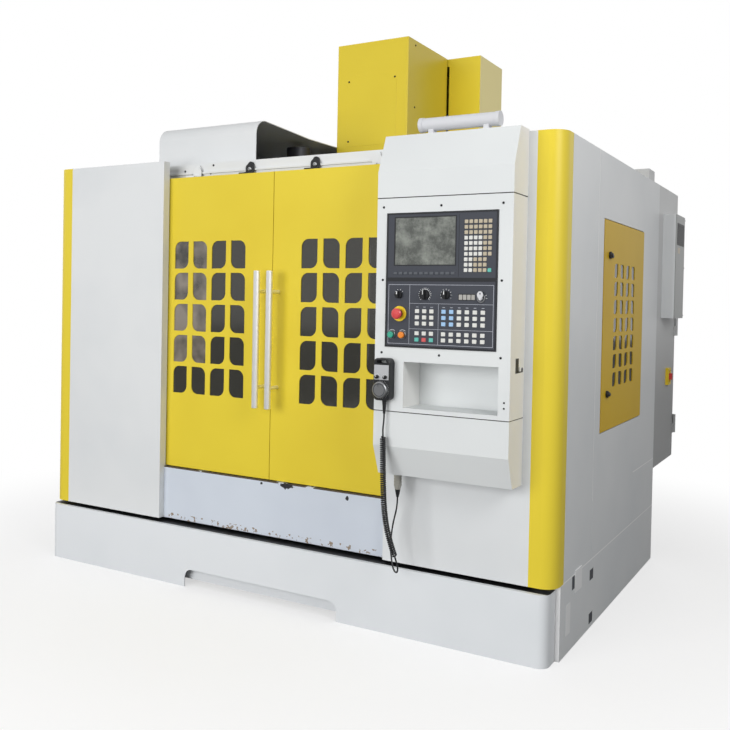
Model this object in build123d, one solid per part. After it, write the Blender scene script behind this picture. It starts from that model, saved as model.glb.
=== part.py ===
from build123d import *
import math
import os

# Vertical machining centre: C-shaped machine inside a sheet-metal enclosure.
# While building, X runs to the right, Y to the back from the front panels,
# and Z up from the floor. At the end all parts move together so that the
# origin is the middle of the footprint on the floor. Lengths are millimetres.

# Enclosure
ENCLOSURE_WIDTH = 2560
ENCLOSURE_DEPTH = 1605
ENCLOSURE_TOP = 1908
PANEL_BOTTOM = 275
SHEET = 3
POST_SIZE = 100
POST_RADIUS = 60
FOLD = 38
SEAM_WIDTH = 3
SEAM_DEPTH = 1.5
SIDE_SEAM_Y = 468

# Chip pan
PAN_GAP = 4
PAN_RIM = 70
DRAIN_HALF = 500
DRAIN_Y = 140
DRAIN_WIDTH = 60

# Front doors
OPENING_HALF = 585
DOOR_RECESS = 44
DOOR_THICKNESS = 36
DOOR_OVERLAP = 12
DOOR_BOTTOM = 514
DOOR_TOP = 1835
DOOR_MEETING_GAP = 3
DOOR_TRAVEL = 540

# Windows of the front doors
WINDOW_COLUMNS = 4
WINDOW_ROWS = 5
WINDOW_WIDTH = 80
WINDOW_HEIGHT = 123
WINDOW_PITCH_X = 108
WINDOW_PITCH_Z = 142
WINDOW_INNER_EDGE = 147
WINDOW_FIRST_Z = 853
WINDOW_CORNER = 34
PANE_THICKNESS = 6
PANE_MARGIN = 18

# Door handles and hangers
HANDLE_RADIUS = 14
HANDLE_OFFSET = 33
HANDLE_STANDOFF = 67
HANDLE_BOTTOM = 826
HANDLE_LENGTH = 583
HANDLE_FOOT_INSET = 88
HANDLE_FOOT_RADIUS = 8
HANGER_X = 172
HANGER_SPACING = 300
HANGER_WIDTH = 44
HANGER_HEIGHT = 52
HANGER_SHEET = 6
ROLLER_RADIUS = 15

# Roof beam, sill and skirts
BEAM_FRONT = 112
BEAM_DEPTH = 114
BEAM_HEIGHT = 62
RAIL_HEIGHT = 8
RAIL_DROP = 50
RAIL_Z = ENCLOSURE_TOP - RAIL_DROP
SILL_RECESS = 30
SILL_LIP = 60
SKIRT_START = 66
SKIRT_SLOT_LENGTH = 58
SKIRT_SLOT_HEIGHT = 44
SKIRT_SLOT_Y = 452
SKIRT_SLOT_HEIGHTS = (15, 190)
REAR_DECK_START = 1300
CASTING_GAP = 15

# Coolant tank under the front
TANK_HALF = 1263
TANK_PROUD = 30
TANK_TOP = 262
TANK_WRAP = 92
TANK_CORNER = 40
TANK_WALL = 4
TANK_FLOOR = 25
TANK_SETBACK = 40
TANK_SIDE_GAP = 45
NOTCH_LEFT = -400
NOTCH_RIGHT = 395
NOTCH_HEIGHT = 80
NOTCH_CORNER = 38

# Service door on the right side
SERVICE_Y = 551
SERVICE_LENGTH = 714
SERVICE_Z = 771
SERVICE_HEIGHT = 869
SERVICE_GAP = 4
SERVICE_PROUD = 2
SERVICE_DEPTH = 20
SERVICE_COLUMNS = 4
SERVICE_ROWS = 7
SERVICE_WINDOW = 60
SERVICE_PITCH_Y = 102
SERVICE_PITCH_Z = 77
SERVICE_FIRST_Y = 724
SERVICE_FIRST_Z = 946
SERVICE_CORNER = 20
SERVICE_PIN_RADIUS = 3
SERVICE_PIN_INSET = 6
RUNNING_FIT = 0.05
LATCH_Y = 632
LATCH_HEIGHTS = (923, 1498)
LATCH_RADIUS = 14

# Cast machine: bed, saddle, table, column and head
SPINDLE_Y = 800
BED_BOTTOM = 40
BED_FRONT = 292
BED_BACK = 1950
BED_FOOT_HEIGHT = 70
BED_TOP = 490
TROUGH_HALF = 190
TROUGH_DEPTH = 75
PAD_RADIUS = 50
PAD_HEIGHT = 22
STEM_RADIUS = 15
RAIL_WIDTH = 45
RAIL_SIZE = 38
RAIL_WAIST = 6
Y_RAIL_X = 280
X_RAIL_Y = 150
RAIL_OVERRUN = 50
BLOCK_WIDTH = 96
BLOCK_LENGTH = 116
BLOCK_GAP = 0.5
BLOCK_LIFT = 8
BLOCK_CAP = 17
BLOCK_INSET = 20
SADDLE_HEIGHT = 145
SADDLE_HALF_DEPTH = 200
SADDLE_CORE_HALF = 360
TABLE_LENGTH = 1000
TABLE_DEPTH = 500
TABLE_THICKNESS = 60
TABLE_SEAT = 45
TABLE_APRON = 18
TABLE_BLOCK_HALF = 260
TABLE_PAD_HALF = 55
SLOT_COUNT = 5
SLOT_PITCH = 90
SLOT_WIDTH = 18
SLOT_NECK = 18
SLOT_FOOT_WIDTH = 30
SLOT_FOOT_HEIGHT = 13
X_TRAVEL = 400
Y_TRAVEL = 250
Z_TRAVEL = 600
SADDLE_HALF_WIDTH = X_TRAVEL + TABLE_BLOCK_HALF + 10
Y_RAIL_START = SPINDLE_Y - Y_TRAVEL - SADDLE_HALF_DEPTH - RAIL_OVERRUN
Y_RAIL_END = SPINDLE_Y + Y_TRAVEL + SADDLE_HALF_DEPTH + RAIL_OVERRUN
SCREW_SUPPORT = 30
COLUMN_FRONT = 1420
COLUMN_BASE_BACK = 1950
COLUMN_TOP_BACK = 1640
COLUMN_BOTTOM = 500
COLUMN_HALF = 300
COLUMN_SLOPE_Z = 800
COLUMN_FOOT_Z = 640
COLUMN_WAIST_Z = 960
Z_RAIL_X = 140
Z_GROOVE = 75
POCKET_DEPTH = 40
POCKET_FRONT = 1480
POCKET_BOTTOM = 1020
POCKET_TOP = 1780
POCKET_BOTTOM_BACK = 1800
POCKET_TOP_BACK = 1590
Z_GROOVE_BOTTOM = 1040
Z_SCREW_BOTTOM = 1050
Z_SHELF = 45
HEAD_BACK = 1365
HEAD_FRONT = 700
HEAD_HALF = 165
HEAD_TOP = 1960
HEAD_BOTTOM = 1600
CARRIAGE_TOP = 2200
CARRIAGE_BOTTOM = 1560
CARRIAGE_THICKNESS = 55
CARRIAGE_HALF = 185
NOSE_RADIUS = 80
NOSE_LENGTH = 30
SPINDLE_RADIUS = 44.4
SPINDLE_SHAFT_RADIUS = 35
SPINDLE_STICKOUT = 12
TAPER_RADIUS = 22.225
TAPER_LENGTH = 65
DRAWBAR_RADIUS = 8.5
MOTOR_SIZE = 210
MOTOR_HEIGHT = 500
MOTOR_Y = 1085
MOTOR_CORNER = 24
FIN_COUNT = 5
FIN_START = 60
FIN_PITCH = 70
FIN_WIDTH = 20
FIN_DEPTH = 6
TERMINAL_PROUD = 60
TERMINAL_SIZE = 120
TERMINAL_DROP = 70
SCREW_RADIUS = 20
X_SCREW_RADIUS = 16
SERVO_SIZE = 130
X_SERVO_SIZE = 110
SERVO_LENGTH = 130
SERVO_CORNER = 13
NUT_CLEARANCE = 1
END_PLAY = 0.5
NUT_SIZE = 84

# Covers above the roof line
HEAD_COVER_HALF = 205
HEAD_COVER_FRONT = 870
HEAD_COVER_BACK = 1330
COVER_TOP = 2606
COLUMN_COVER_HALF = 395
COLUMN_COVER_FRONT = 1338
COLUMN_COVER_BACK = 1652
COVER_OPENING_HALF = 215
COVER_HEADROOM = 86
Z_SERVO_LENGTH = 190
COLUMN_TOP = COVER_TOP - COVER_HEADROOM - Z_SERVO_LENGTH
COLUMN_BASE_HALF = COLUMN_COVER_HALF + 5
BED_HALF = COLUMN_BASE_HALF + 30
BED_FOOT_HALF = BED_HALF + 110
COVER_FLANGE = 60
HATCH_INSET = 32
HATCH_HEIGHT = 403

# Tool magazine, its hood and the tool changer
HOOD_LEFT = -800
HOOD_RIGHT = -215
HOOD_FRONT = 196
HOOD_TOP = 2113
HOOD_REAR_TOP = 2089
HOOD_KNEE_Y = 630
HOOD_CORNER = 70
MAGAZINE_Z = 1790
MAGAZINE_RADIUS = 280
MAGAZINE_X = -715
MAGAZINE_PLATE = 15
POT_COUNT = 20
POT_CIRCLE = 252
POT_RADIUS = 32
POT_LENGTH = 72
POT_BORE = 23
AXLE_RADIUS = 40
CHANGER_X = -330
CHANGER_BOTTOM = 1590
CHANGER_TOP = 1900
CHANGER_WIDTH = 170
CHANGER_DEPTH = 320
CHANGER_SHAFT_RADIUS = 30
CHANGER_STROKE = 120
CHANGER_GUIDE = 80
PIVOT_RADIUS = 14
ARM_REACH = 330
ARM_THICKNESS = 36
ARM_PLAY = 0.3
ARM_GAP_BELOW_NOSE = 10
ARM_HALF_WIDTH = 38
GRIP_RADIUS = 33
CHANGER_MOTOR_RADIUS = 60
CHANGER_MOTOR_Y = 705
CHANGER_MOTOR_TOP = 2060

# Electrical cabinet at the back
CABINET_INNER_X = 430
CABINET_DEPTH = 475
CABINET_BACK = ENCLOSURE_DEPTH + CABINET_DEPTH
CABINET_BOTTOM = 463
CABINET_DOOR_THICKNESS = 22
CABINET_DOOR_GAP = 1
CABINET_HINGE_OFFSET = 9
CABINET_HINGE_RADIUS = 8
CABINET_PIN_RADIUS = 4
CABINET_HINGE_HEIGHTS = (640, 1180, 1700)
CABINET_HINGE_LENGTH = 50
MODULE_COUNT = 4
MODULE_GAP = 40
MODULE_LEFT_MARGIN = 90
MODULE_RIGHT_MARGIN = 120
MODULE_DEPTH = 227
MODULE_TOP_GAP = 180
MODULE_HEIGHT = 440
CABINET_GRIP_Z = 1080
CABINET_GRIP_LENGTH = 140
CABINET_GRIP_WIDTH = 30
CABINET_GRIP_PROUD = 26
ROOF_BOX_INSET = 170
ROOF_BOX_Y = CABINET_BACK - 150
ROOF_BOX_SIZE = (120, 140, 127)
COOLER_SETBACK = 110
COOLER_Y = ENCLOSURE_DEPTH + COOLER_SETBACK
COOLER_LENGTH = 250
COOLER_DEPTH = 65
COOLER_BOTTOM = 1230
COOLER_HEIGHT = 540
COOLER_CORNER = 12
LOUVRE_COUNT = 6
SWITCH_Y = CABINET_BACK - 180
SWITCH_Z = 915
SWITCH_RADIUS = 17

# Control pendant
PENDANT_LEFT = 612
PENDANT_RIGHT = 1148
PENDANT_DEPTH = 141
PENDANT_BOTTOM = 638
PENDANT_BEND = 750
PENDANT_LOWER_SEAM = 881
PENDANT_UPPER_SEAM = 1673
PENDANT_SLANT = 1771
PENDANT_TOP = 1913
PENDANT_TOP_DEPTH = 87
PENDANT_BOTTOM_DEPTH = 97
SHELF_LEFT = 734
SHELF_RIGHT = 1105
SHELF_BOTTOM = 898
SHELF_TOP = 1068
UNIT_LEFT = 655
UNIT_TOP = 1616
UNIT_WIDTH = 440
UNIT_HEIGHT = 245
PANEL_HEIGHT = 250
UNIT_PROUD = 3
UNIT_BODY_DEPTH = 60
UNIT_BODY_INSET = 10
SCREEN_LEFT = 35
SCREEN_WIDTH = 244
SCREEN_DROP = 18
SCREEN_HEIGHT = 174
SCREEN_RECESS = 2
KEY_PROUD = 2
HOOK_Z = 1044
HOOK_HEIGHT = 54
HOOK_Y = -90
HOOK_LENGTH = 44
HOOK_WIDTH = 10
HOOK_TOE_WIDTH = 8
HOOK_TOE_HEIGHT = 22

# Handset and its cord
HANDSET_X = 662
HANDSET_WIDTH = 70
HANDSET_THICKNESS = 38
HANDSET_BOTTOM = 923
HANDSET_HEIGHT = 156
HANDSET_CORNER = 18
HANDSET_DIAL_RADIUS = 30
HANDSET_DIAL_Z = 963
HANDSET_KNOB_Z = 1010
HANDSET_KNOB_X = 17
RELIEF_X = 667
RELIEF_LENGTH = 50
CORD_RADIUS = 3.25
COIL_RADIUS = 12
CONNECTOR_X = 679
CONNECTOR_Y = -62
CONNECTOR_RADIUS = 15
CONNECTOR_LENGTH = 46
PLUG_RADIUS = 13
PLUG_LENGTH = 40

# Lamp on top of the pendant
LAMP_RADIUS = 27
LAMP_LEFT = 744
LAMP_LENGTH = 318
LAMP_SETBACK = 60
LAMP_LIFT = 9

HALF_WIDTH = ENCLOSURE_WIDTH / 2
FRONT = 0
DOOR_FACE = DOOR_RECESS


def block(x, y, z):
    """A box from its lowest and highest value along each axis."""
    size = (x[1] - x[0], y[1] - y[0], z[1] - z[0])
    middle = ((x[0] + x[1]) / 2, (y[0] + y[1]) / 2, (z[0] + z[1]) / 2)
    return Pos(*middle) * Box(*size)


def facing_front(y):
    """Drawing plane at depth y, seen from the front: X to the right, Z up."""
    return Plane(origin=(0, y, 0), x_dir=(1, 0, 0), z_dir=(0, -1, 0))


def facing_right(x):
    """Drawing plane at x, seen from the right: Y away from the door side, Z up."""
    return Plane(origin=(x, 0, 0), x_dir=(0, 1, 0), z_dir=(1, 0, 0))


def facing_up(z):
    return Plane(origin=(0, 0, z), x_dir=(1, 0, 0), z_dir=(0, 0, 1))


def along_y(shape, y):
    """Push a front-view sketch from y[1] forward to y[0]."""
    return extrude(facing_front(y[1]) * shape, y[1] - y[0])


def along_x(shape, x):
    return extrude(facing_right(x[0]) * shape, x[1] - x[0])


def along_z(shape, z):
    return extrude(facing_up(z[0]) * shape, z[1] - z[0])


def outline(points):
    return make_face(Polyline(*points, close=True))


def rectangle(a, b):
    """A rectangle in a sketch from its lowest and highest values."""
    middle = ((a[0] + a[1]) / 2, (b[0] + b[1]) / 2)
    return Pos(*middle) * Rectangle(a[1] - a[0], b[1] - b[0])


def upright_rod(x, y, z, radius):
    return Pos(x, y, z[0]) * Cylinder(radius, z[1] - z[0], align=(Align.CENTER, Align.CENTER, Align.MIN))


def front_rod(x, y, z, radius):
    """A round bar along Y."""
    return extrude(facing_front(y[1]) * (Pos(x, z) * Circle(radius)), y[1] - y[0])


def side_rod(x, y, z, radius):
    """A round bar along X."""
    return extrude(facing_right(x[0]) * (Pos(y, z) * Circle(radius)), x[1] - x[0])


def mirrored(part):
    return mirror(part, about=Plane.YZ)


def leaf_window(width, height, corner, leaning_right):
    """A window with two opposite corners well rounded, the way the leaf leans."""
    shape = Rectangle(width, height)
    chosen = [v for v in shape.vertices() if (v.X * v.Y > 0) == leaning_right]
    return fillet(chosen, corner)


def window_grid(columns, rows, size, pitch, first, corner):
    """Rows of windows whose rounded corners alternate from column to column."""
    shapes = []
    for column in range(columns):
        shape = leaf_window(size[0], size[1], corner, column % 2 == 1)
        for row in range(rows):
            middle_a = first[0] + column * pitch[0] + size[0] / 2
            middle_b = first[1] + row * pitch[1] + size[1] / 2
            shapes.append(Pos(middle_a, middle_b) * shape)
    return Sketch() + shapes


def front_tray(x, z, y_front, depth):
    """A folded sheet panel: closed in front, folded back all round."""
    shell = block(x, (y_front, y_front + depth), z)
    hollow = block(
        (x[0] + SHEET, x[1] - SHEET),
        (y_front + SHEET, y_front + depth),
        (z[0] + SHEET, z[1] - SHEET),
    )
    return shell - hollow


def side_tray(y, z):
    """A folded side panel on the right: closed outside, folded inwards."""
    shell = block((HALF_WIDTH - FOLD, HALF_WIDTH), y, z)
    hollow = block(
        (HALF_WIDTH - FOLD, HALF_WIDTH - SHEET),
        (y[0] + SHEET, y[1] - SHEET),
        (z[0] + SHEET, z[1] - SHEET),
    )
    return shell - hollow


# Sheet-metal enclosure


def corner_post():
    """The rounded angle at the right front corner, with a flange at each edge."""
    inner_x = HALF_WIDTH - POST_SIZE
    outer = rounded_corner(inner_x, HALF_WIDTH, FRONT, POST_SIZE, POST_RADIUS)
    inner = rounded_corner(
        inner_x, HALF_WIDTH - SHEET, FRONT + SHEET, POST_SIZE, POST_RADIUS - SHEET
    )
    front_flange = rectangle((inner_x, inner_x + SHEET), (FRONT, FOLD))
    side_flange = rectangle((HALF_WIDTH - FOLD, HALF_WIDTH), (POST_SIZE - SHEET, POST_SIZE))
    section = outer - inner + front_flange + side_flange
    return along_z(section, (PANEL_BOTTOM, ENCLOSURE_TOP))


def rounded_corner(left, right, front, back, radius):
    """A rectangle seen from above, with its right front corner rounded."""
    shape = rectangle((left, right), (front, back))
    corner = [v for v in shape.vertices() if v.X > right - 1 and v.Y < front + 1]
    return fillet(corner, radius)


def front_panel():
    """The white panel between the doors and the right corner post."""
    x = (OPENING_HALF, HALF_WIDTH - POST_SIZE)
    return front_tray(x, (PANEL_BOTTOM, ENCLOSURE_TOP), FRONT, FOLD)


def side_panel():
    """The right side with its rounded corner post, marked by two upright seams."""
    y = (POST_SIZE, ENCLOSURE_DEPTH - SHEET)
    z = (PANEL_BOTTOM, ENCLOSURE_TOP)
    panel = side_tray(y, z) + corner_post()
    for start in (POST_SIZE, SIDE_SEAM_Y):
        groove = (start, start + SEAM_WIDTH)
        panel -= block((HALF_WIDTH - SEAM_DEPTH, HALF_WIDTH), groove, z)
    return panel


def service_hinge_place():
    """The X and Y of the service door's two pins."""
    x = HALF_WIDTH + SERVICE_PROUD - SERVICE_PIN_INSET
    y = SERVICE_Y + SERVICE_LENGTH - SERVICE_PIN_INSET
    return x, y


def right_side_panel():
    """The right side, with a framed opening and two pins for the service door."""
    y = (SERVICE_Y - SERVICE_GAP, SERVICE_Y + SERVICE_LENGTH + SERVICE_GAP)
    z = (SERVICE_Z - SERVICE_GAP, SERVICE_Z + SERVICE_HEIGHT + SERVICE_GAP)
    frame = block(
        (HALF_WIDTH - FOLD, HALF_WIDTH - SHEET / 2),
        (y[0] - SHEET, y[1] + SHEET),
        (z[0] - SHEET, z[1] + SHEET),
    )
    opening = block((HALF_WIDTH - FOLD, HALF_WIDTH), y, z)
    panel = side_panel() + frame - opening
    pin_x, pin_y = service_hinge_place()
    pin_length = SERVICE_GAP + 2 * SHEET
    for low in (z[0], z[1] - pin_length):
        panel += upright_rod(pin_x, pin_y, (low, low + pin_length), SERVICE_PIN_RADIUS)
    return panel + service_pin_ears(pin_x, pin_y, z)


def service_pin_ears(pin_x, pin_y, z):
    """Small tabs that carry the pins inside the frame, above and below the door."""
    ears = Part()
    for low in (z[0] - SHEET, z[1]):
        ears += block(
            (HALF_WIDTH - FOLD, pin_x + SERVICE_PIN_RADIUS),
            (pin_y - SERVICE_PIN_RADIUS, pin_y + SERVICE_PIN_INSET + SERVICE_GAP),
            (low, low + SHEET),
        )
    return ears


def roof_beam():
    """The beam over the doors: a channel with a rail strip for the rollers."""
    x = (-HALF_WIDTH + SHEET, HALF_WIDTH - SHEET)
    top = ENCLOSURE_TOP - SHEET
    bottom = top - BEAM_HEIGHT
    back = BEAM_FRONT + BEAM_DEPTH
    section = rectangle((BEAM_FRONT, back), (bottom, top))
    section -= rectangle((BEAM_FRONT + SHEET, back), (bottom + SHEET, top - SHEET))
    rail_x = OPENING_HALF + DOOR_TRAVEL
    rail = rectangle((BEAM_FRONT - RAIL_HEIGHT, BEAM_FRONT), (RAIL_Z, RAIL_Z + RAIL_HEIGHT))
    return along_x(section, x) + along_x(rail, (-rail_x, rail_x))


def sill_panel():
    """The sheet under the doors, with a lip that the doors close down to."""
    x = (-OPENING_HALF, OPENING_HALF)
    top = DOOR_BOTTOM - SHEET
    face = rectangle((SILL_RECESS, SILL_RECESS + SHEET), (PANEL_BOTTOM, top))
    lip = rectangle((SILL_RECESS, SILL_RECESS + SILL_LIP), (top - SHEET, top))
    foot = rectangle((SILL_RECESS, SILL_RECESS + SILL_LIP), (PANEL_BOTTOM, PANEL_BOTTOM + SHEET))
    return along_x(face + lip + foot, x)


def rear_panel():
    """The back sheet and the deck over it, both cut out round the column."""
    x = (-HALF_WIDTH, HALF_WIDTH)
    y = (ENCLOSURE_DEPTH - SHEET, ENCLOSURE_DEPTH)
    cut_half = BED_HALF + CASTING_GAP
    back = block(x, y, (PANEL_BOTTOM, ENCLOSURE_TOP))
    back -= block((-cut_half, cut_half), y, (PANEL_BOTTOM, ENCLOSURE_TOP))
    inner = HALF_WIDTH - FOLD
    deck_z = (ENCLOSURE_TOP - SHEET, ENCLOSURE_TOP)
    deck = block((-inner, inner), (REAR_DECK_START, y[1]), deck_z)
    cut_half = COLUMN_COVER_HALF - CASTING_GAP
    deck -= block((-cut_half, cut_half), (REAR_DECK_START, y[1]), deck_z)
    return back + deck


def base_skirt():
    """The right-hand skirt that carries the side panel down to the floor."""
    x = (HALF_WIDTH - FOLD, HALF_WIDTH)
    y = (SKIRT_START, ENCLOSURE_DEPTH)
    z = (0, PANEL_BOTTOM)
    skirt = block(x, y, z)
    skirt -= block((x[0], x[1] - SHEET), (y[0] + SHEET, y[1] - SHEET), (z[0] + SHEET, z[1] - SHEET))
    for low in SKIRT_SLOT_HEIGHTS:
        slot_y = (SKIRT_SLOT_Y, SKIRT_SLOT_Y + SKIRT_SLOT_LENGTH)
        skirt -= block((x[1] - SHEET, x[1]), slot_y, (low, low + SKIRT_SLOT_HEIGHT))
    return skirt


def chip_pan():
    """The pan under the work area, turned up round the bed, with a drain slot."""
    back = ENCLOSURE_DEPTH - SHEET - PAN_GAP
    half = HALF_WIDTH - SHEET - PAN_GAP
    floor = rectangle((-half, half), (POST_SIZE + PAN_GAP, back))
    front_half = HALF_WIDTH - POST_SIZE - PAN_GAP
    floor += rectangle((-front_half, front_half), (FOLD + PAN_GAP, POST_SIZE + PAN_GAP))
    bed_half = BED_HALF + CASTING_GAP
    hole = rectangle((-bed_half, bed_half), (BED_FRONT - CASTING_GAP, back))
    rim = rectangle((-bed_half - SHEET, bed_half + SHEET), (BED_FRONT - CASTING_GAP - SHEET, back))
    drain = rectangle((-DRAIN_HALF, DRAIN_HALF), (DRAIN_Y, DRAIN_Y + DRAIN_WIDTH))
    bottom = PANEL_BOTTOM + SHEET
    pan = along_z(floor - hole - drain, (bottom, bottom + SHEET))
    return pan + along_z(rim - hole, (bottom, bottom + PAN_RIM))


def coolant_tank():
    """The front tank: a folded front sheet, a ledge over it and the tray behind it."""
    return Compound([tank_front(), tank_ledge(), tank_tray()])


def tank_outline(back):
    """The tank's outside seen from above, rounded at its two front corners."""
    shape = rectangle((-TANK_HALF, TANK_HALF), (-TANK_PROUD, back))
    return fillet([v for v in shape.vertices() if v.Y < FRONT], TANK_CORNER)


def tank_front():
    """The front sheet, folded back at both ends, with a notch at the floor."""
    front = -TANK_PROUD
    whole = tank_outline(front + 2 * TANK_WRAP)
    ring = whole - offset(whole, amount=-TANK_WALL)
    ring &= rectangle((-TANK_HALF, TANK_HALF), (front, front + TANK_WRAP))
    notch = rectangle((NOTCH_LEFT, NOTCH_RIGHT), (-NOTCH_HEIGHT, NOTCH_HEIGHT))
    notch = fillet([v for v in notch.vertices() if v.Y > 0], NOTCH_CORNER)
    return along_z(ring, (0, TANK_TOP - TANK_WALL)) - along_y(notch, (front, front + TANK_WALL))


def tank_ledge():
    """The plate that closes the front sheet and the tray's front part from above."""
    return along_z(tank_outline(TANK_WRAP - TANK_PROUD), (TANK_TOP - TANK_WALL, TANK_TOP))


def tank_tray():
    """The open tray that holds the coolant, stepped down to go under the ledge."""
    x = (-HALF_WIDTH + TANK_SIDE_GAP, HALF_WIDTH - TANK_SIDE_GAP)
    y = (TANK_SETBACK - TANK_PROUD, BED_FRONT - CASTING_GAP)
    inner_x = (x[0] + TANK_WALL, x[1] - TANK_WALL)
    inner_y = (y[0] + TANK_WALL, y[1] - TANK_WALL)
    tray = block(x, y, (TANK_FLOOR, TANK_TOP))
    tray -= block(inner_x, inner_y, (TANK_FLOOR + TANK_WALL, TANK_TOP))
    return tray - block(x, (y[0], TANK_WRAP - TANK_PROUD), (TANK_TOP - TANK_WALL, TANK_TOP))


# Front doors


def door_leaf():
    """The right door leaf: folded sheet with its windows and two roller hangers."""
    x = (DOOR_MEETING_GAP / 2, OPENING_HALF + DOOR_OVERLAP)
    leaf = front_tray(x, (DOOR_BOTTOM, DOOR_TOP), DOOR_FACE, DOOR_THICKNESS)
    windows = window_grid(
        WINDOW_COLUMNS,
        WINDOW_ROWS,
        (WINDOW_WIDTH, WINDOW_HEIGHT),
        (WINDOW_PITCH_X, WINDOW_PITCH_Z),
        (WINDOW_INNER_EDGE, WINDOW_FIRST_Z),
        WINDOW_CORNER,
    )
    leaf -= along_y(windows, (DOOR_FACE, DOOR_FACE + SHEET))
    for middle in (HANGER_X, HANGER_X + HANGER_SPACING):
        leaf += door_hanger(middle)
    return leaf


def door_hanger(middle):
    """A D-shaped plate on a foot, with the roller that runs on the beam's rail."""
    plate_back = BEAM_FRONT - RAIL_HEIGHT - 2
    x = (middle - HANGER_WIDTH / 2, middle + HANGER_WIDTH / 2)
    plate = rectangle(x, (DOOR_TOP, DOOR_TOP + HANGER_HEIGHT))
    plate = fillet([v for v in plate.vertices() if v.Y > DOOR_TOP + 1], HANGER_WIDTH / 2 - 1)
    hanger = along_y(plate, (plate_back - HANGER_SHEET, plate_back))
    foot_y = (DOOR_FACE + SHEET, plate_back)
    hanger += block(x, foot_y, (DOOR_TOP, DOOR_TOP + HANGER_SHEET))
    roller_z = RAIL_Z + RAIL_HEIGHT + ROLLER_RADIUS + 0.3
    return hanger + front_rod(middle, (plate_back, BEAM_FRONT - 1), roller_z, ROLLER_RADIUS)


def door_glass():
    width = (WINDOW_COLUMNS - 1) * WINDOW_PITCH_X + WINDOW_WIDTH
    height = (WINDOW_ROWS - 1) * WINDOW_PITCH_Z + WINDOW_HEIGHT
    x = (WINDOW_INNER_EDGE - PANE_MARGIN, WINDOW_INNER_EDGE + width + PANE_MARGIN)
    z = (WINDOW_FIRST_Z - PANE_MARGIN, WINDOW_FIRST_Z + height + PANE_MARGIN)
    y = (DOOR_FACE + SHEET, DOOR_FACE + SHEET + PANE_THICKNESS)
    return block(x, y, z)


def door_handle():
    """A round bar on two standoffs."""
    bar_y = DOOR_FACE - HANDLE_STANDOFF
    z = (HANDLE_BOTTOM, HANDLE_BOTTOM + HANDLE_LENGTH)
    bar = upright_rod(HANDLE_OFFSET, bar_y, z, HANDLE_RADIUS)
    bar = chamfer(bar.edges().filter_by(GeomType.CIRCLE), 2)
    for foot_z in (z[0] + HANDLE_FOOT_INSET, z[1] - HANDLE_FOOT_INSET):
        bar += front_rod(HANDLE_OFFSET, (bar_y, DOOR_FACE), foot_z, HANDLE_FOOT_RADIUS)
    return bar


# Service door on the right


def service_door():
    """A folded door with slots, hung on two pins at its rear edge."""
    x = (HALF_WIDTH + SERVICE_PROUD - SERVICE_DEPTH, HALF_WIDTH + SERVICE_PROUD)
    y = (SERVICE_Y, SERVICE_Y + SERVICE_LENGTH)
    z = (SERVICE_Z, SERVICE_Z + SERVICE_HEIGHT)
    door = block(x, y, z)
    door -= block((x[0], x[1] - SHEET), (y[0] + SHEET, y[1] - SHEET), (z[0] + SHEET, z[1] - SHEET))
    windows = window_grid(
        SERVICE_COLUMNS,
        SERVICE_ROWS,
        (SERVICE_WINDOW, SERVICE_WINDOW),
        (SERVICE_PITCH_Y, SERVICE_PITCH_Z),
        (SERVICE_FIRST_Y, SERVICE_FIRST_Z),
        SERVICE_CORNER,
    )
    door -= along_x(windows, (x[1] - SHEET, x[1]))
    pin_x, pin_y = service_hinge_place()
    for low in (z[0], z[1] - SHEET):
        boss_y = (pin_y - 2 * SERVICE_PIN_RADIUS, y[1])
        door += block((pin_x - 2 * SERVICE_PIN_RADIUS, x[1]), boss_y, (low, low + SHEET))
        door -= upright_rod(pin_x, pin_y, (low, low + SHEET), SERVICE_PIN_RADIUS + RUNNING_FIT)
    for latch_z in LATCH_HEIGHTS:
        door -= side_rod((x[1] - SHEET, x[1]), LATCH_Y, latch_z, LATCH_RADIUS / 2 + RUNNING_FIT)
    return door


def service_glass():
    width = (SERVICE_COLUMNS - 1) * SERVICE_PITCH_Y + SERVICE_WINDOW
    height = (SERVICE_ROWS - 1) * SERVICE_PITCH_Z + SERVICE_WINDOW
    outside = HALF_WIDTH + SERVICE_PROUD - SHEET
    return block(
        (outside - PANE_THICKNESS, outside),
        (SERVICE_FIRST_Y - PANE_MARGIN, SERVICE_FIRST_Y + width + PANE_MARGIN),
        (SERVICE_FIRST_Z - PANE_MARGIN, SERVICE_FIRST_Z + height + PANE_MARGIN),
    )


def service_latch(z):
    """A quarter-turn latch: head outside, shank through the sheet, cam inside."""
    outside = HALF_WIDTH + SERVICE_PROUD
    inside = outside - SHEET
    head = side_rod((outside, outside + 4), LATCH_Y, z, LATCH_RADIUS)
    slot_y = (LATCH_Y - LATCH_RADIUS, LATCH_Y + LATCH_RADIUS)
    head -= block((outside + 2, outside + 4), slot_y, (z - 2, z + 2))
    shank = side_rod((inside - 8, outside), LATCH_Y, z, LATCH_RADIUS / 2)
    cam = rectangle((LATCH_Y - 10, LATCH_Y + 10), (z - 10, z + 48))
    return head + shank + along_x(cam, (inside - 8, inside - 4))


# Castings and axes


def rail_section(across, up):
    """Profile rail with waisted sides, standing on the line given by up."""
    half = RAIL_WIDTH / 2
    waist = half - RAIL_WAIST
    return outline(
        [
            (across - half, up),
            (across + half, up),
            (across + half, up + RAIL_SIZE * 0.3),
            (across + waist, up + RAIL_SIZE * 0.5),
            (across + half, up + RAIL_SIZE * 0.7),
            (across + half, up + RAIL_SIZE),
            (across - half, up + RAIL_SIZE),
            (across - half, up + RAIL_SIZE * 0.7),
            (across - waist, up + RAIL_SIZE * 0.5),
            (across - half, up + RAIL_SIZE * 0.3),
        ]
    )


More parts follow.
